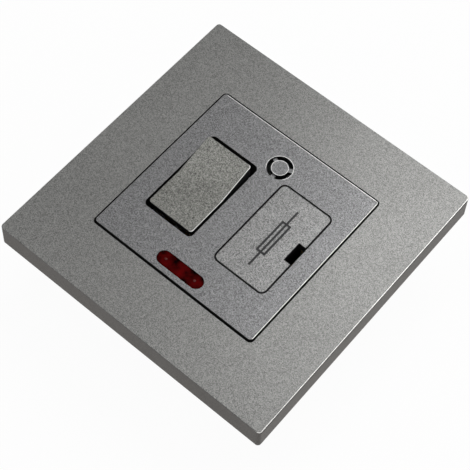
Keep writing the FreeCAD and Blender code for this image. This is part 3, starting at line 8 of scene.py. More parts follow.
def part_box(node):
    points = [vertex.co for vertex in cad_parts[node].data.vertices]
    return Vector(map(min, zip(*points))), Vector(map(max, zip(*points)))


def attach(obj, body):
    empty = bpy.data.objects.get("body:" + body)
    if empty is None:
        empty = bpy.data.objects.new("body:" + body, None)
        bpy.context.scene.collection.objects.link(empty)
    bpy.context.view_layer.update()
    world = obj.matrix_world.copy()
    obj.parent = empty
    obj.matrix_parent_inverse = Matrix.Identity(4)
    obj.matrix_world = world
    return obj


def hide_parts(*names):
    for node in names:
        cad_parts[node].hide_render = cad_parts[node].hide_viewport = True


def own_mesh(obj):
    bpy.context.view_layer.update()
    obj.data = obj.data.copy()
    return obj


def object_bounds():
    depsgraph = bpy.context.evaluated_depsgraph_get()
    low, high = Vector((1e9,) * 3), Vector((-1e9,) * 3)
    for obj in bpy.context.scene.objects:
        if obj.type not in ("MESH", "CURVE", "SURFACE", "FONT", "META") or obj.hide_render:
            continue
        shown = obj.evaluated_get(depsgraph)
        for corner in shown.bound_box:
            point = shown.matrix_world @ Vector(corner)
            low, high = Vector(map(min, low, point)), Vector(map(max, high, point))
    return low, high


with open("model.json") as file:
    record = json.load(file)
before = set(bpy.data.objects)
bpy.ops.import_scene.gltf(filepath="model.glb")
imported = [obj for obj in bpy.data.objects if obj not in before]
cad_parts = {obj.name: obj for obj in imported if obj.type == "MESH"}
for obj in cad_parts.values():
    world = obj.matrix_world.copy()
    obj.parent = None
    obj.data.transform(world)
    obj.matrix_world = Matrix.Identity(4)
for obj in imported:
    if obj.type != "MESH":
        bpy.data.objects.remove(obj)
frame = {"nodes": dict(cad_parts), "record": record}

bl_info = {
    "name": "Fused Spur Unit Looks",
    "version": (1, 0, 0),
    "blender": (4, 5, 0),
    "location": "View3D > Sidebar > Spur Unit",
    "description": "Finishes for a square switched fuse outlet and the studio it is seen in",
    "category": "Object",
}

MM = 0.001
CAD_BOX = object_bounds()
NODES = frame["nodes"]
BEHAVIOUR = frame["record"]["behaviour"]
BODY_OF = {node: body for body, nodes in BEHAVIOUR["bodies"].items() for node in nodes}
SLOT_OF = {part["node"]: part["material_slot"] for part in frame["record"]["subparts"]}

# Levels: the carrier's face, the foot of the rims at the front, and the foot of the painted faces
FACE_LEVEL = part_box("fuse_carrier")[1].z
RIM_FOOT = 0.5 * FACE_LEVEL
PAINT_FOOT = 0.85 * FACE_LEVEL

# The rise of a face is the upward part of its normal: 0 on a wall, 1 on a level face
WALL_RISE = 0.3
RIM_RISE = 0.995
# Rims that rise more than BRIGHT_RISE and look to the left get a painted highlight
BRIGHT_RISE = 0.45
LEVEL_RISE = 0.999
# On the rocker, rims that rise less than ROCKER_RIM_FOOT get painted shade, and rims from there up to
# ROCKER_RIM_TOP get a painted highlight
ROCKER_RIM_FOOT = 0.6
ROCKER_RIM_TOP = 0.95

# The least part of a normal that counts as looking a little, and squarely, to one side
TURNED = 0.05
SQUARE_ON = 0.9

JOIN_DISTANCE = 0.0005 * MM
LEVEL_SLACK = 0.01 * MM
OPENING_REACH = 2 * MM
PIP_FOOT = 0.02 * MM
SMOOTH_ANGLE = 32
PIP_SMOOTH_ANGLE = 40

# Paints: the colour's name on the sidebar, and what differs from the usual paint
PAINTS = {
    "silver_paint": ("silver", {"flake": 0.9}),
    "fascia_paint": ("fascia", {}),
    "rocker_paint": ("rocker", {"flake": 1.5}),
    "carrier_paint": ("carrier", {"flake": 1.3}),
    # The side paint is a duller gloss whose darker, browner colour is painted shade
    "side_paint": ("side", {"roughness": 0.35, "flake": 0.5, "metal": 0.2}),
    # The rim paint is a painted highlight on the rims that look to the left
    "rim_paint": ("rim", {"flake": 0.5}),
    # The band paint is a painted highlight in the narrow bands beside the gaps
    "band_paint": ("band", {"flake": 0.5}),
}

# Plain finishes that have their colour on the sidebar
TINTED_FINISHES = {
    # Dark moulding made near black, so that the walls, rims and bands at the gaps also carry painted shade
    "bare_moulding": ("dark", {"roughness": 0.6, "shine": 0.1}),
    # The pips' lighter red is a painted highlight on two modelled pips
    "pip_red": ("pip", {"roughness": 0.2, "mottle": 0.6, "shine": 0.1}),
    "printed_ink": ("ink", {"roughness": 0.55, "mottle": 0.2, "shine": 0.1}),
}

# Finishes of the pieces inside the unit and behind it
INNER_FINISHES = {
    "white_moulding": {"colour": (0.78, 0.78, 0.755), "roughness": 0.42},
    "nylon": {"colour": (0.82, 0.8, 0.72), "roughness": 0.35},
    "brass": {"colour": (0.78, 0.56, 0.24), "roughness": 0.3, "metal": 1.0, "mottle": 0.15,
              "stretch": (1, 8, 1)},
    "silver_contact": {"colour": (0.86, 0.85, 0.82), "roughness": 0.22, "metal": 1.0},
    "steel": {"colour": (0.62, 0.62, 0.61), "roughness": 0.32, "metal": 1.0, "mottle": 0.12},
    "spring_steel": {"colour": (0.5, 0.5, 0.52), "roughness": 0.28, "metal": 1.0},
    "fuse_ceramic": {"colour": (0.85, 0.83, 0.78), "roughness": 0.25, "mottle": 0.1},
    "lead_sleeve": {"colour": (0.05, 0.05, 0.055), "roughness": 0.5},
    "resistor_brown": {"colour": (0.5, 0.36, 0.22), "roughness": 0.4, "mottle": 0.2},
}

# Lamps: place, size, and the name of their power on the sidebar
LAMPS = {
    "key_lamp": ((0, -0.45, 0.78), 0.45, "key_power"),
    "top_lamp": ((0.256, 0.059, 0.861), 0.35, "top_power"),
    "edge_lamp": ((-0.45, -0.42, 0.22), 0.3, "edge_power"),
    "side_lamp": ((0.32, 0.3, 0.05), 0.1, "side_power"),
}
FLOOR_COLOUR = (0.85, 0.85, 0.85, 1)
FLOOR_ROUGHNESS = 0.9
FLOOR_WHITENESS = 0.96
WHITE = (1, 1, 1, 1)
SENSOR_WIDTH = 36
NEAREST_SEEN = 0.01

# What the operators have made: node groups, materials, and the numbers of the faces in each band
GROUPS = {}
FINISHES = {}
BANDS = {}


class SpurSizes(bpy.types.PropertyGroup):
    """Sizes of what is printed on the unit and of its surface detail."""

    symbol_length: bpy.props.FloatProperty(
        name="Symbol length", description="Length of the fuse symbol's line", default=20.0 * MM,
        unit="LENGTH")
    symbol_box: bpy.props.FloatProperty(
        name="Symbol box", description="Length of the fuse symbol's box", default=11.0 * MM, unit="LENGTH")
    symbol_width: bpy.props.FloatProperty(
        name="Symbol width", description="Width of the fuse symbol's box", default=3.0 * MM, unit="LENGTH")
    symbol_stroke: bpy.props.FloatProperty(
        name="Stroke", description="Width of the printed strokes", default=0.6 * MM, unit="LENGTH")
    ink_thickness: bpy.props.FloatProperty(
        name="Ink", description="Thickness of the printed ink", default=0.02 * MM, unit="LENGTH")
    grain_size: bpy.props.FloatProperty(
        name="Grain", description="Size of the paint's grain", default=0.32 * MM, unit="LENGTH")
    flake_size: bpy.props.FloatProperty(
        name="Flake", description="Size of the paint's flakes", default=0.16 * MM, unit="LENGTH")
    side_depth: bpy.props.FloatProperty(
        name="Side depth", description="How far in from its outline the plate's sides are painted",
        default=1.0 * MM, unit="LENGTH")
    # Bands are a painted highlight by the fascia's openings and painted shade round the carrier's face
    band_width: bpy.props.FloatProperty(
        name="Band", description="Width of the bright or dark band beside a gap", default=0.14 * MM,
        unit="LENGTH")
    # The dark strip under the plate's left edge is painted shade
    shade_depth: bpy.props.FloatProperty(
        name="Shade", description="Depth of the dark strip under the plate's left edge",
        default=0.7 * MM, unit="LENGTH")
    pip_radius: bpy.props.FloatProperty(
        name="Pip radius", description="Radius of the two pips on the lens", default=0.45 * MM, unit="LENGTH")
    pip_height: bpy.props.FloatProperty(
        name="Pip height", description="Height of the two pips on the lens", default=0.12 * MM, unit="LENGTH")
    pip_spread: bpy.props.FloatProperty(
        name="Pip spread", description="Distance between the two pips", default=9.5 * MM, unit="LENGTH")


class SpurColours(bpy.types.PropertyGroup):
    """Colours of the finishes."""

    silver: bpy.props.FloatVectorProperty(
        name="Silver paint", description="Paint of the plate", subtype="COLOR", size=3,
        min=0, max=1, default=(0.163, 0.163, 0.158))
    rocker: bpy.props.FloatVectorProperty(
        name="Rocker", description="Paint of the rocker", subtype="COLOR", size=3,
        min=0, max=1, default=(0.153, 0.153, 0.142))
    carrier: bpy.props.FloatVectorProperty(
        name="Carrier", description="Paint of the fuse carrier", subtype="COLOR", size=3,
        min=0, max=1, default=(0.168, 0.168, 0.166))
    fascia: bpy.props.FloatVectorProperty(
        name="Fascia", description="Paint of the fascia", subtype="COLOR", size=3,
        min=0, max=1, default=(0.146, 0.146, 0.148))
    # The plate's sides are darker and browner than the silver as painted shade
    side: bpy.props.FloatVectorProperty(
        name="Plate side", description="Duller paint of the plate's sides", subtype="COLOR", size=3,
        min=0, max=1, default=(0.132, 0.122, 0.112))
    # The rim colour is a painted highlight on the rims that look to the left
    rim: bpy.props.FloatVectorProperty(
        name="Rims", description="Rounded edges, where the paint is thin and bright", subtype="COLOR",
        size=3, min=0, max=1, default=(0.85, 0.84, 0.82))
    # The band colour is a painted highlight beside the gaps
    band: bpy.props.FloatVectorProperty(
        name="Bands", description="Narrow bright bands beside the gaps", subtype="COLOR",
        size=3, min=0, max=1, default=(0.55, 0.55, 0.54))
    # Near black: the walls and edges at the gaps are dark moulding with painted shade
    dark: bpy.props.FloatVectorProperty(
        name="Bare moulding", description="Unpainted walls and edges at the gaps", subtype="COLOR", size=3,
        min=0, max=1, default=(0.006, 0.006, 0.006))
    ink: bpy.props.FloatVectorProperty(
        name="Ink", description="Printed symbol", subtype="COLOR", size=3,
        min=0, max=1, default=(0.034, 0.034, 0.035))
    lens: bpy.props.FloatVectorProperty(
        name="Lens", description="Indicator lens", subtype="COLOR", size=3,
        min=0, max=1, default=(0.044, 0.0005, 0.0007))
    # The pips' colour is lighter than the lens as a painted highlight
    pip: bpy.props.FloatVectorProperty(
        name="Lens pips", description="Pips on the lens", subtype="COLOR", size=3,
        min=0, max=1, default=(0.085, 0.006, 0.005))


class SpurStudio(bpy.types.PropertyGroup):
    """Camera, floor and lamps."""

    camera_place: bpy.props.FloatVectorProperty(
        name="Camera", description="Where the camera stands", subtype="TRANSLATION", size=3,
        default=(-0.105398, 0.138697, 0.312507))
    camera_right: bpy.props.FloatVectorProperty(
        name="Camera right", description="The camera's right", subtype="DIRECTION", size=3,
        default=(-0.76435, -0.64425, 0.02671))
    camera_up: bpy.props.FloatVectorProperty(
        name="Camera up", description="The camera's up", subtype="DIRECTION", size=3,
        default=(0.57499, -0.66227, 0.48039))
    focal_length: bpy.props.FloatProperty(
        name="Focal length", description="Lens on a sensor 36 mm wide, in mm", default=104.37)
    floor_reach: bpy.props.FloatProperty(
        name="Floor", description="Half the floor's width", default=3.0, unit="LENGTH")
    sky: bpy.props.FloatProperty(
        name="Sky", description="Strength of the even light", default=0.25, min=0)
    key_power: bpy.props.FloatProperty(
        name="Key lamp", description="Power of the large soft lamp", default=3.7, min=0, unit="POWER")
    top_power: bpy.props.FloatProperty(
        name="Top lamp", description="Power of the lamp above", default=1.0, min=0, unit="POWER")
    edge_power: bpy.props.FloatProperty(
        name="Edge lamp", description="Power of the low lamp that the left edges catch", default=0.8, min=0,
        unit="POWER")
    side_power: bpy.props.FloatProperty(
        name="Side lamp", description="Power of the small lamp that lights the upper side", default=0.06,
        min=0, unit="POWER")


def sizes():
    """The sizes on the sidebar."""
    return bpy.context.scene.spur_sizes


def colours():
    """The colours on the sidebar."""
    return bpy.context.scene.spur_colours


# Nodes and materials

def add_node(tree, kind, place, **values):
    """Shader node at a place in the tree, with its settings and socket values."""
    node = tree.nodes.new(kind)
    node.location = place
    for key, value in values.items():
        if key in node.inputs:
            node.inputs[key].default_value = value
        else:
            setattr(node, key, value)
    return node


def add_math(tree, place, operation, *operands):
    """Output of a math node, whose operands are sockets or plain numbers."""
    node = add_node(tree, "ShaderNodeMath", place, operation=operation)
    for socket, operand in zip(node.inputs, operands):
        if isinstance(operand, bpy.types.NodeSocket):
            tree.links.new(operand, socket)
        else:
            socket.default_value = operand
    return node.outputs[0]


def add_tint(tree, place, colour, level):
    """Output of a node that makes a colour lighter or darker by a level."""
    node = add_node(tree, "ShaderNodeVectorMath", place, operation="SCALE")
    tree.links.new(colour, node.inputs[0])
    tree.links.new(level, node.inputs["Scale"])
    return node.outputs[0]


def new_material(name):
    """Node material with nothing but a Principled shader, which is returned with it."""
    material = bpy.data.materials.new(name)
    material.use_nodes = True
    tree = material.node_tree
    tree.nodes.clear()
    shader = add_node(tree, "ShaderNodeBsdfPrincipled", (300, 0))
    output = add_node(tree, "ShaderNodeOutputMaterial", (600, 0))
    tree.links.new(shader.outputs["BSDF"], output.inputs["Surface"])
    return material, tree, shader


def new_group(name, inputs):
    """Shader node group with named inputs that puts out a colour, a roughness and a height."""
    group = bpy.data.node_groups.new(name, "ShaderNodeTree")
    for socket, kind, value in inputs:
        item = group.interface.new_socket(name=socket, in_out="INPUT", socket_type=kind)
        item.default_value = value
    for socket, kind in (("Colour", "Color"), ("Roughness", "Float"), ("Height", "Float")):
        group.interface.new_socket(name=socket, in_out="OUTPUT", socket_type="NodeSocket" + kind)
    source = add_node(group, "NodeGroupInput", (-900, 0))
    target = add_node(group, "NodeGroupOutput", (700, 0))
    return group, source, target


def flake_paint_group():
    """Satin paint with a fine grain, bright flakes and a gloss that changes a little over it."""
    group, source, target = new_group(
        "FlakePaint",
        [("Colour", "NodeSocketColor", (0.3, 0.3, 0.3, 1)), ("Grain Scale", "NodeSocketFloat", 3000),
         ("Flake Scale", "NodeSocketFloat", 6000), ("Grain Depth", "NodeSocketFloat", 0.2),
         ("Flake Depth", "NodeSocketFloat", 0.3), ("Roughness", "NodeSocketFloat", 0.45)])
    place = add_node(group, "ShaderNodeTexCoord", (-900, -300))
    grain = add_node(group, "ShaderNodeTexNoise", (-600, 200), Detail=3.0, Roughness=0.65)
    flake = add_node(group, "ShaderNodeTexVoronoi", (-600, -100))
    cloud = add_node(group, "ShaderNodeTexNoise", (-600, -400), Scale=45.0, Detail=2.0)
    split = add_node(group, "ShaderNodeSeparateColor", (-400, -100))
    links = group.links
    for texture in (grain, flake, cloud):
        links.new(place.outputs["Object"], texture.inputs["Vector"])
    links.new(source.outputs["Grain Scale"], grain.inputs["Scale"])
    links.new(source.outputs["Flake Scale"], flake.inputs["Scale"])
    links.new(flake.outputs["Color"], split.inputs["Color"])
    flake_tone = add_math(group, (-200, -100), "SUBTRACT", split.outputs["Red"], 0.5)
    flake_share = add_math(group, (0, -100), "MULTIPLY", flake_tone, source.outputs["Flake Depth"])
    grain_tone = add_math(group, (-200, 200), "SUBTRACT", grain.outputs["Fac"], 0.5)
    grain_share = add_math(group, (0, 200), "MULTIPLY", grain_tone, source.outputs["Grain Depth"])
    both = add_math(group, (150, 50), "ADD", flake_share, grain_share)
    level = add_math(group, (300, 50), "ADD", both, 1.0)
    tint = add_tint(group, (450, 150), source.outputs["Colour"], level)
    gloss_change = 0.12
    gloss = add_math(group, (300, -250), "MULTIPLY_ADD", cloud.outputs["Fac"], gloss_change,
                     source.outputs["Roughness"])
    links.new(tint, target.inputs["Colour"])
    links.new(gloss, target.inputs["Roughness"])
    links.new(grain.outputs["Fac"], target.inputs["Height"])
    return group


def fine_surface_group():
    """Plain moulding or metal with a faint mottle and a fine surface."""
    group, source, target = new_group(
        "FineSurface",
        [("Colour", "NodeSocketColor", (0.8, 0.8, 0.8, 1)), ("Scale", "NodeSocketFloat", 900),
         ("Mottle", "NodeSocketFloat", 0.06), ("Roughness", "NodeSocketFloat", 0.4),
         ("Stretch", "NodeSocketVector", (1, 1, 1))])
    place = add_node(group, "ShaderNodeTexCoord", (-900, -300))
    stretch = add_node(group, "ShaderNodeVectorMath", (-700, -200), operation="MULTIPLY")
    noise = add_node(group, "ShaderNodeTexNoise", (-500, 0), Detail=4.0)
    links = group.links
    links.new(place.outputs["Object"], stretch.inputs[0])
    links.new(source.outputs["Stretch"], stretch.inputs[1])
    links.new(stretch.outputs[0], noise.inputs["Vector"])
    links.new(source.outputs["Scale"], noise.inputs["Scale"])
    tone = add_math(group, (-300, 0), "SUBTRACT", noise.outputs["Fac"], 0.5)
    level = add_math(group, (-100, 0), "MULTIPLY_ADD", tone, source.outputs["Mottle"], 1.0)
    tint = add_tint(group, (200, 100), source.outputs["Colour"], level)
    gloss = add_math(group, (200, -200), "MULTIPLY", source.outputs["Roughness"], level)
    links.new(tint, target.inputs["Colour"])
    links.new(gloss, target.inputs["Roughness"])
    links.new(noise.outputs["Fac"], target.inputs["Height"])
    return group


def group_node(tree, group, **values):
    """Place a node group in a material and set its inputs."""
    node = add_node(tree, "ShaderNodeGroup", (-400, 0))
    node.node_tree = group
    for key, value in values.items():
        node.inputs[key.replace("_", " ")].default_value = value
    return node


def wire_surface(tree, node, shader, bump, depth):
    """Join a surface group's colour, roughness and height to a shader."""
    tree.links.new(node.outputs["Colour"], shader.inputs["Base Color"])
    tree.links.new(node.outputs["Roughness"], shader.inputs["Roughness"])
    relief = add_node(tree, "ShaderNodeBump", (0, -300), Strength=bump, Distance=depth)
    tree.links.new(node.outputs["Height"], relief.inputs["Height"])
    tree.links.new(relief.outputs["Normal"], shader.inputs["Normal"])


def paint_material(name, colour, roughness=0.24, grain=0.06, flake=1.2, metal=0.4):
    """Satin silver paint on a moulding."""
    material, tree, shader = new_material(name)
    node = group_node(tree, GROUPS["paint"], Colour=(*colour, 1), Grain_Scale=1 / sizes().grain_size,
                      Flake_Scale=1 / sizes().flake_size, Grain_Depth=grain, Flake_Depth=flake,
                      Roughness=roughness)
    wire_surface(tree, node, shader, bump=0.25, depth=0.02 * MM)
    shader.inputs["Metallic"].default_value = metal
    shader.inputs["Specular IOR Level"].default_value = 0.04
    return material


def plain_material(name, colour, roughness, metal=0.0, mottle=0.06, scale=900.0, stretch=(1, 1, 1),
                   shine=0.5, bump=0.1):
    """Moulding, metal or ceramic with a faint mottle."""
    material, tree, shader = new_material(name)
    node = group_node(tree, GROUPS["fine"], Colour=(*colour, 1), Scale=scale, Mottle=mottle,
                      Roughness=roughness, Stretch=stretch)
    wire_surface(tree, node, shader, bump=bump, depth=0.01 * MM)
    shader.inputs["Metallic"].default_value = metal
    shader.inputs["Specular IOR Level"].default_value = shine
    return material


def glass_material(name):
    """Clear lamp glass."""
    material, tree, shader = new_material(name)
    shader.inputs["Base Color"].default_value = (0.95, 0.93, 0.9, 1)
    shader.inputs["Transmission Weight"].default_value = 0.9
    noise = add_node(tree, "ShaderNodeTexNoise", (-300, 0), Scale=300.0)
    place = add_node(tree, "ShaderNodeTexCoord", (-600, 0))
    tree.links.new(place.outputs["Object"], noise.inputs["Vector"])
    most_rough = 0.1
    roughness = add_math(tree, (-100, 0), "MULTIPLY", noise.outputs["Fac"], most_rough)
    tree.links.new(roughness, shader.inputs["Roughness"])
    return material


def make_finishes():
    """Every material, by the record's slot it stands for, or by its own name."""
    GROUPS["paint"] = flake_paint_group()
    GROUPS["fine"] = fine_surface_group()
    for name, (colour, look) in PAINTS.items():
        FINISHES[name] = paint_material(name, getattr(colours(), colour), **look)
    for name, (colour, look) in TINTED_FINISHES.items():
        FINISHES[name] = plain_material(name, getattr(colours(), colour), **look)
    for name, look in INNER_FINISHES.items():
        FINISHES[name] = plain_material(name, **look)
    FINISHES["lens_red"] = plain_material("lens_red", colours().lens, roughness=0.2, mottle=6.5, scale=330.0,
                                          shine=0.008, bump=0.05)
    FINISHES["lamp_glass"] = glass_material("lamp_glass")


# Objects and their faces

def deselect_all():
    """Leave edit mode and deselect every object."""
    if bpy.context.object and bpy.context.object.mode != "OBJECT":
        bpy.ops.object.mode_set(mode="OBJECT")
    bpy.ops.object.select_all(action="DESELECT")


def make_active(thing):
    """Select one object alone and make it the active one."""
    deselect_all()
    thing.select_set(True)
    bpy.context.view_layer.objects.active = thing


def smooth_copy(node, name, finish, band=0.0, cut=None):
    """Copy of a CAD node with its triangles joined and its round edges shaded smooth.

    A band is the width of a narrow strip set off round the outlines of its flat top,
    and a cut is a level at which its faces are divided.
    """
    copy = bpy.data.objects.new(name, NODES[node].data.copy())
    bpy.context.scene.collection.objects.link(copy)
    make_active(copy)
    bpy.ops.object.mode_set(mode="EDIT")
    bpy.ops.mesh.select_all(action="SELECT")
    bpy.ops.mesh.customdata_custom_splitnormals_clear()
    bpy.ops.mesh.remove_doubles(threshold=JOIN_DISTANCE)
    bpy.ops.object.mode_set(mode="OBJECT")
    if band:
        BANDS[name] = set_off_band(copy, band)
    if cut is not None:
        bpy.ops.object.mode_set(mode="EDIT")
        bpy.ops.mesh.select_all(action="SELECT")
        bpy.ops.mesh.bisect(plane_co=(0, 0, cut), plane_no=(0, 0, 1))
        bpy.ops.object.mode_set(mode="OBJECT")
    bpy.ops.object.shade_smooth_by_angle(angle=math.radians(SMOOTH_ANGLE))
    flats = copy.modifiers.new("Flat faces", "WEIGHTED_NORMAL")
    flats.keep_sharp = True
    bpy.ops.object.modifier_apply(modifier=flats.name)
    dress(copy, finish)
    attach(copy, BODY_OF[node])
    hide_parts(node)
    return copy


def set_off_band(thing, width):
    """Inset the flat top and return the numbers of the faces in the strip round its outlines."""
    top = max(vertex.co.z for vertex in thing.data.vertices) - LEVEL_SLACK
    bpy.ops.object.mode_set(mode="EDIT")
    bpy.ops.mesh.select_mode(type="FACE")
    bpy.ops.mesh.select_all(action="DESELECT")
    bpy.ops.object.mode_set(mode="OBJECT")
    for face in thing.data.polygons:
        face.select = face.normal.z > LEVEL_RISE and face.center.z > top
    bpy.ops.object.mode_set(mode="EDIT")
    bpy.ops.mesh.inset(thickness=width)
    bpy.ops.object.mode_set(mode="OBJECT")
    return {face.index for face in thing.data.polygons
            if not face.select and face.normal.z > LEVEL_RISE and face.center.z > top}


def dress(thing, finish):
    """Give an object one finish."""
    thing.data.materials.clear()
    thing.data.materials.append(FINISHES[finish])


def refinish(thing, finish, chosen):
    """Give the faces that a test picks another finish."""
    thing.data.materials.append(FINISHES[finish])
    for face in thing.data.polygons:
        if chosen(face):
            face.material_index = len(thing.data.materials) - 1


def is_wall(face):
    """Whether a face stands upright or nearly so."""
    return abs(face.normal.z) < WALL_RISE


def is_rim(face):
    """Whether a face belongs to a rounded edge at the front."""
    return WALL_RISE <= face.normal.z <= RIM_RISE and face.center.z > RIM_FOOT


def is_highlight_rim(face):
    """Whether a face belongs to the upper part of a rounded edge and looks to the left, where a highlight is
    painted.
    """
    return is_rim(face) and face.normal.z > BRIGHT_RISE and face.normal.x < -TURNED


def is_upper_rim(face):
    """Whether a face belongs to a rounded edge and looks towards the unit's top."""
    return is_rim(face) and face.normal.y > TURNED


def lies_by_an_opening(place):
    """Whether a place on the fascia is at the knock-out's rim or beside the rocker's right edge."""
    low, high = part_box("rocker")
    carrier_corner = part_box("fuse_carrier")[0]
    at_knock_out = abs(place.x) < abs(carrier_corner.x) / 2 and place.y < carrier_corner.y
    by_rocker = (high.x < place.x < high.x + OPENING_REACH
                 and low.y - OPENING_REACH < place.y < high.y + OPENING_REACH)
    return at_knock_out or by_rocker


class SPUR_OT_finishes(bpy.types.Operator):
    """Make the paint, plastic and metal finishes"""

    bl_idname = "spur.finishes"
    bl_label = "Finishes"

    def execute(self, context):
        make_finishes()
        return {"FINISHED"}


class SPUR_OT_mouldings(bpy.types.Operator):
    """Finish the painted mouldings that the front shows"""

    bl_idname = "spur.mouldings"
    bl_label = "Painted mouldings"

    def execute(self, context):
        finish_plate()
        finish_fascia()
        finish_rocker()
        finish_carrier()
        return {"FINISHED"}


def finish_plate():
    """Plate with darker, browner sides as painted shade under a duller gloss, painted highlights on its left
    rims, dark moulding in its window made near black as painted shade, and a strip of painted shade under its
    left edge.
    """
    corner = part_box("front_frame")[1]
    shade_level = corner.z - sizes().shade_depth
    outer = corner.x - sizes().side_depth
    plate = smooth_copy("front_frame", "plate_shell", "silver_paint", cut=shade_level)
    # Painted shade: darker, browner paint with a duller gloss on the plate's outer sides
    refinish(plate, "side_paint", lambda face: is_wall(face)
             and max(abs(face.center.x), abs(face.center.y)) > outer)
    # Walls in the plate's window: dark moulding made near black as painted shade
    refinish(plate, "bare_moulding", lambda face: is_wall(face)
             and max(abs(face.center.x), abs(face.center.y)) <= outer)
    # Painted shade: a near black strip on the plate's left side just under its front edge
    refinish(plate, "bare_moulding", lambda face: face.center.z > shade_level
             and face.normal.x < -SQUARE_ON and face.center.x < -outer)
    # Painted highlight on the plate's rims that look to the left
    refinish(plate, "rim_paint", is_highlight_rim)


def finish_fascia():
    """Fascia with dark moulding walls made near black as painted shade, painted shade on its upper rims,
    painted highlights on its left rims, and bands of painted highlight by its openings.
    """
    fascia = smooth_copy("fascia", "fascia_shell", "fascia_paint", band=sizes().band_width)
    # Fascia walls and faces below the front: dark moulding made near black as painted shade
    refinish(fascia, "bare_moulding", lambda face: is_wall(face) or face.center.z < PAINT_FOOT)
    # Painted shade on the fascia's rims that look towards the unit's top
    refinish(fascia, "bare_moulding", is_upper_rim)
    # Painted highlight on the fascia's rims that look to the left
    refinish(fascia, "rim_paint", lambda face: is_highlight_rim(face) and not is_upper_rim(face))
    # Painted highlight in the bands by the knock-out's rim and beside the rocker's right edge
    refinish(fascia, "band_paint", lambda face: face.index in BANDS["fascia_shell"]
             and lies_by_an_opening(face.center))


def finish_rocker():
    """Rocker with dark moulding walls and lower rims made near black as painted shade, and a painted
    highlight along its left rim.
    """
    rocker = smooth_copy("rocker", "rocker_cap", "rocker_paint")
    # Rocker walls and lower rims: dark moulding made near black as painted shade
    refinish(rocker, "bare_moulding", lambda face: is_wall(face) or face.center.z < 0)
    refinish(rocker, "bare_moulding", lambda face: is_rim(face) and face.normal.z < ROCKER_RIM_FOOT)
    # Painted highlight along the rocker's left rim
    refinish(rocker, "rim_paint", lambda face: is_highlight_rim(face)
             and ROCKER_RIM_FOOT <= face.normal.z < ROCKER_RIM_TOP)


def finish_carrier():
    """Fuse carrier with dark moulding walls and rims made near black as painted shade, and a band of painted
    shade round its face.
    """
    carrier = smooth_copy("fuse_carrier", "carrier_drawer", "carrier_paint", band=sizes().band_width)
    # Carrier walls and rims: dark moulding made near black as painted shade
    refinish(carrier, "bare_moulding", lambda face: is_wall(face) or is_rim(face)
             or face.center.z < PAINT_FOOT)
    # Painted shade in a band round the carrier's face, which widens its dark gap
    refinish(carrier, "bare_moulding", lambda face: face.index in BANDS["carrier_drawer"])


class SPUR_OT_lens(bpy.types.Operator):
    """Finish the indicator's lens and add the two pips at its ends"""

    bl_idname = "spur.lens"
    bl_label = "Indicator lens"

    def execute(self, context):
        smooth_copy("neon_lens", "indicator_lens", "lens_red")
        low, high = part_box("neon_lens")
        for side, name in ((-1, "lens_pip_left"), (1, "lens_pip_right")):
            place = ((low.x + high.x + side * sizes().pip_spread) / 2, (low.y + high.y) / 2, high.z)
            pip = add_pip(place, sizes().pip_radius, sizes().pip_height)
            pip.name = name
            # The pips' lighter red is a painted highlight
            dress(pip, "pip_red")
            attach(pip, BODY_OF["neon_lens"])
        return {"FINISHED"}


def add_pip(place, radius, height):
    """Low round pip with its foot a little under a face."""
    deselect_all()
    bpy.ops.mesh.primitive_uv_sphere_add(segments=24, ring_count=12, radius=1, location=place)
    pip = bpy.context.object
    pip.scale = (radius, radius, height)
    bpy.ops.object.transform_apply(location=True, rotation=False, scale=True)
    bpy.ops.object.mode_set(mode="EDIT")
    bpy.ops.mesh.select_all(action="SELECT")
    bpy.ops.mesh.bisect(plane_co=(place[0], place[1], place[2] - PIP_FOOT), plane_no=(0, 0, 1),
                        use_fill=True, clear_inner=True)
    bpy.ops.object.mode_set(mode="OBJECT")
    bpy.ops.object.shade_smooth_by_angle(angle=math.radians(PIP_SMOOTH_ANGLE))
    return pip


class SPUR_OT_symbol(bpy.types.Operator):
    """Print a fuse symbol on the carrier"""

    bl_idname = "spur.symbol"
    bl_label = "Fuse symbol"

    def execute(self, context):
        low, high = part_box("fuse_carrier")
        middle = ((low.x + high.x) / 2, (low.y + high.y) / 2)
        stroke = sizes().symbol_stroke
        outline = print_box(middle, sizes().symbol_width, sizes().symbol_box, stroke)
        inside = sizes().symbol_box - 2 * stroke
        tail = (sizes().symbol_length - sizes().symbol_box) / 2
        reach = (sizes().symbol_box + tail) / 2
        bars = [print_bar((middle[0], middle[1] + shift), stroke, length)
                for shift, length in ((0, inside), (reach, tail), (-reach, tail))]
        make_active(outline)
        for bar in bars:
            bar.select_set(True)
        bpy.ops.object.join()
        outline.name = "fuse_symbol"
        dress(outline, "printed_ink")
        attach(outline, "fuse_drawer")
        return {"FINISHED"}


def add_patch(middle, width, length):
    """Flat rectangle on the carrier's face."""
    deselect_all()
    bpy.ops.mesh.primitive_plane_add(size=1, location=(middle[0], middle[1], FACE_LEVEL))
    patch = bpy.context.object
    patch.scale = (width, length, 1)
    bpy.ops.object.transform_apply(location=True, rotation=False, scale=True)
    return patch


def print_bar(middle, width, length):
    """Printed bar on the carrier's face, with the ink's thickness."""
    bar = add_patch(middle, width, length)
    raise_ink(bar)
    return bar


def print_box(middle, width, length, stroke):
    """Printed outline of a box, made by insetting a patch and taking out its middle."""
    box = add_patch(middle, width, length)
    bpy.ops.object.mode_set(mode="EDIT")
    bpy.ops.mesh.select_all(action="SELECT")
    bpy.ops.mesh.inset(thickness=stroke)
    bpy.ops.mesh.delete(type="FACE")
    bpy.ops.object.mode_set(mode="OBJECT")
    raise_ink(box)
    return box


def raise_ink(thing):
    """Give a flat print the ink's thickness, outwards from the face."""
    make_active(thing)
    wall = thing.modifiers.new("Ink", "SOLIDIFY")
    wall.thickness = sizes().ink_thickness
    wall.offset = 1
    bpy.ops.object.modifier_apply(modifier=wall.name)


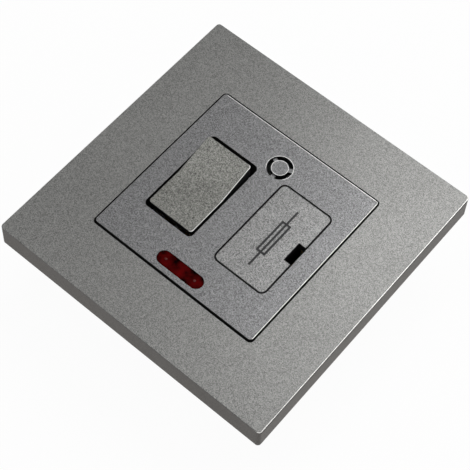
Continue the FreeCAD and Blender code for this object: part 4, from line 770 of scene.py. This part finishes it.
class SPUR_OT_springs(bpy.types.Operator):
    """Finish the plungers' springs, which the record lists as shortening when their plungers go in"""

    bl_idname = "spur.springs"
    bl_label = "Plunger springs"

    def execute(self, context):
        for joint in BEHAVIOUR["joints"]:
            for shortened in joint.get("deforming_nodes", ()):
                spring = smooth_copy(shortened["node"], shortened["node"] + "_coil", "spring_steel")
                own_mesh(spring)
        return {"FINISHED"}


class SPUR_OT_inner_parts(bpy.types.Operator):
    """Finish the pieces inside the unit and behind it"""

    bl_idname = "spur.inner_parts"
    bl_label = "Inner parts"

    def execute(self, context):
        for node, thing in NODES.items():
            if not thing.hide_render:
                dress(thing, SLOT_OF[node])
        return {"FINISHED"}


class SPUR_OT_studio(bpy.types.Operator):
    """Set the camera, the white floor and the soft lamps"""

    bl_idname = "spur.studio"
    bl_label = "Studio"

    def execute(self, context):
        studio = context.scene.spur_studio
        add_camera(studio)
        add_floor(studio)
        add_world(studio)
        for name, (place, size, power) in LAMPS.items():
            add_lamp(name, place, size, getattr(studio, power))
        return {"FINISHED"}


def add_camera(studio):
    """Camera with the photograph's place and direction."""
    deselect_all()
    bpy.ops.object.camera_add()
    camera = bpy.context.object
    camera.name = "view_camera"
    right = Vector(studio.camera_right).normalized()
    up = Vector(studio.camera_up)
    up = (up - right * up.dot(right)).normalized()
    back = right.cross(up)
    turn = Matrix((right, up, back)).transposed().to_4x4()
    camera.matrix_world = Matrix.Translation(studio.camera_place) @ turn
    camera.data.lens = studio.focal_length
    camera.data.sensor_width = SENSOR_WIDTH
    camera.data.clip_start = NEAREST_SEEN
    bpy.context.scene.camera = camera


def sight_rays(tree):
    """One for rays that show the white background: camera, glossy and transmission rays."""
    path = add_node(tree, "ShaderNodeLightPath", (-900, 300))
    first = add_math(tree, (-700, 300), "MAXIMUM", path.outputs["Is Camera Ray"],
                     path.outputs["Is Glossy Ray"])
    return add_math(tree, (-500, 300), "MAXIMUM", first, path.outputs["Is Transmission Ray"])


def add_floor(studio):
    """Pale floor that the camera sees as near white, with the unit's soft shadow on it."""
    deselect_all()
    bpy.ops.mesh.primitive_plane_add(size=2 * studio.floor_reach, location=(0, 0, CAD_BOX[0][2]))
    floor = bpy.context.object
    floor.name = "floor"
    material, tree, shader = new_material("floor_white")
    shader.inputs["Base Color"].default_value = FLOOR_COLOUR
    shader.inputs["Roughness"].default_value = FLOOR_ROUGHNESS
    glow = add_node(tree, "ShaderNodeEmission", (300, -300), Strength=1.0)
    mix = add_node(tree, "ShaderNodeMixShader", (500, 0))
    output = next(node for node in tree.nodes if node.type == "OUTPUT_MATERIAL")
    seen = add_math(tree, (0, 300), "MULTIPLY", sight_rays(tree), FLOOR_WHITENESS)
    tree.links.new(seen, mix.inputs["Fac"])
    tree.links.new(shader.outputs["BSDF"], mix.inputs[1])
    tree.links.new(glow.outputs["Emission"], mix.inputs[2])
    tree.links.new(mix.outputs["Shader"], output.inputs["Surface"])
    floor.data.materials.append(material)


def add_world(studio):
    """Even grey light, white to the camera."""
    world = bpy.data.worlds.new("studio_world")
    bpy.context.scene.world = world
    world.use_nodes = True
    tree = world.node_tree
    tree.nodes.clear()
    strength = add_node(tree, "ShaderNodeMix", (-300, 0), data_type="FLOAT")
    strength.inputs[2].default_value = studio.sky
    strength.inputs[3].default_value = 1.0
    background = add_node(tree, "ShaderNodeBackground", (0, 0), Color=WHITE)
    output = add_node(tree, "ShaderNodeOutputWorld", (300, 0))
    tree.links.new(sight_rays(tree), strength.inputs[0])
    tree.links.new(strength.outputs[0], background.inputs["Strength"])
    tree.links.new(background.outputs["Background"], output.inputs["Surface"])


def add_lamp(name, place, size, power):
    """Soft square lamp that points at the unit."""
    deselect_all()
    bpy.ops.object.light_add(type="AREA", location=place)
    lamp = bpy.context.object
    lamp.name = name
    lamp.data.size = size
    lamp.data.energy = power
    lamp.rotation_euler = (-Vector(place)).to_track_quat("-Z", "Y").to_euler()


class SPUR_PT_panel(bpy.types.Panel):
    """Spur unit tools"""

    bl_label = "Spur Unit"
    bl_idname = "SPUR_PT_panel"
    bl_space_type = "VIEW_3D"
    bl_region_type = "UI"
    bl_category = "Spur Unit"

    def draw(self, context):
        for operator in OPERATORS:
            self.layout.operator(operator.bl_idname)
        for group in (context.scene.spur_sizes, context.scene.spur_colours, context.scene.spur_studio):
            for name in group.bl_rna.properties.keys():
                if name not in ("rna_type", "name"):
                    self.layout.prop(group, name)


OPERATORS = (SPUR_OT_finishes, SPUR_OT_mouldings, SPUR_OT_lens, SPUR_OT_symbol, SPUR_OT_springs,
             SPUR_OT_inner_parts, SPUR_OT_studio)
CLASSES = (SpurSizes, SpurColours, SpurStudio, *OPERATORS, SPUR_PT_panel)


def register():
    """Register the classes and put the settings on the scene."""
    for kind in CLASSES:
        bpy.utils.register_class(kind)
    bpy.types.Scene.spur_sizes = bpy.props.PointerProperty(type=SpurSizes)
    bpy.types.Scene.spur_colours = bpy.props.PointerProperty(type=SpurColours)
    bpy.types.Scene.spur_studio = bpy.props.PointerProperty(type=SpurStudio)


def unregister():
    """Take the settings off the scene and unregister the classes."""
    del bpy.types.Scene.spur_studio
    del bpy.types.Scene.spur_colours
    del bpy.types.Scene.spur_sizes
    for kind in reversed(CLASSES):
        bpy.utils.unregister_class(kind)


def main():
    """Build every piece."""
    register()
    bpy.context.scene.view_settings.view_transform = "Standard"
    bpy.ops.spur.finishes()
    bpy.ops.spur.mouldings()
    bpy.ops.spur.lens()
    bpy.ops.spur.symbol()
    bpy.ops.spur.springs()
    bpy.ops.spur.inner_parts()
    bpy.ops.spur.studio()


if __name__ == "__main__":
    main()
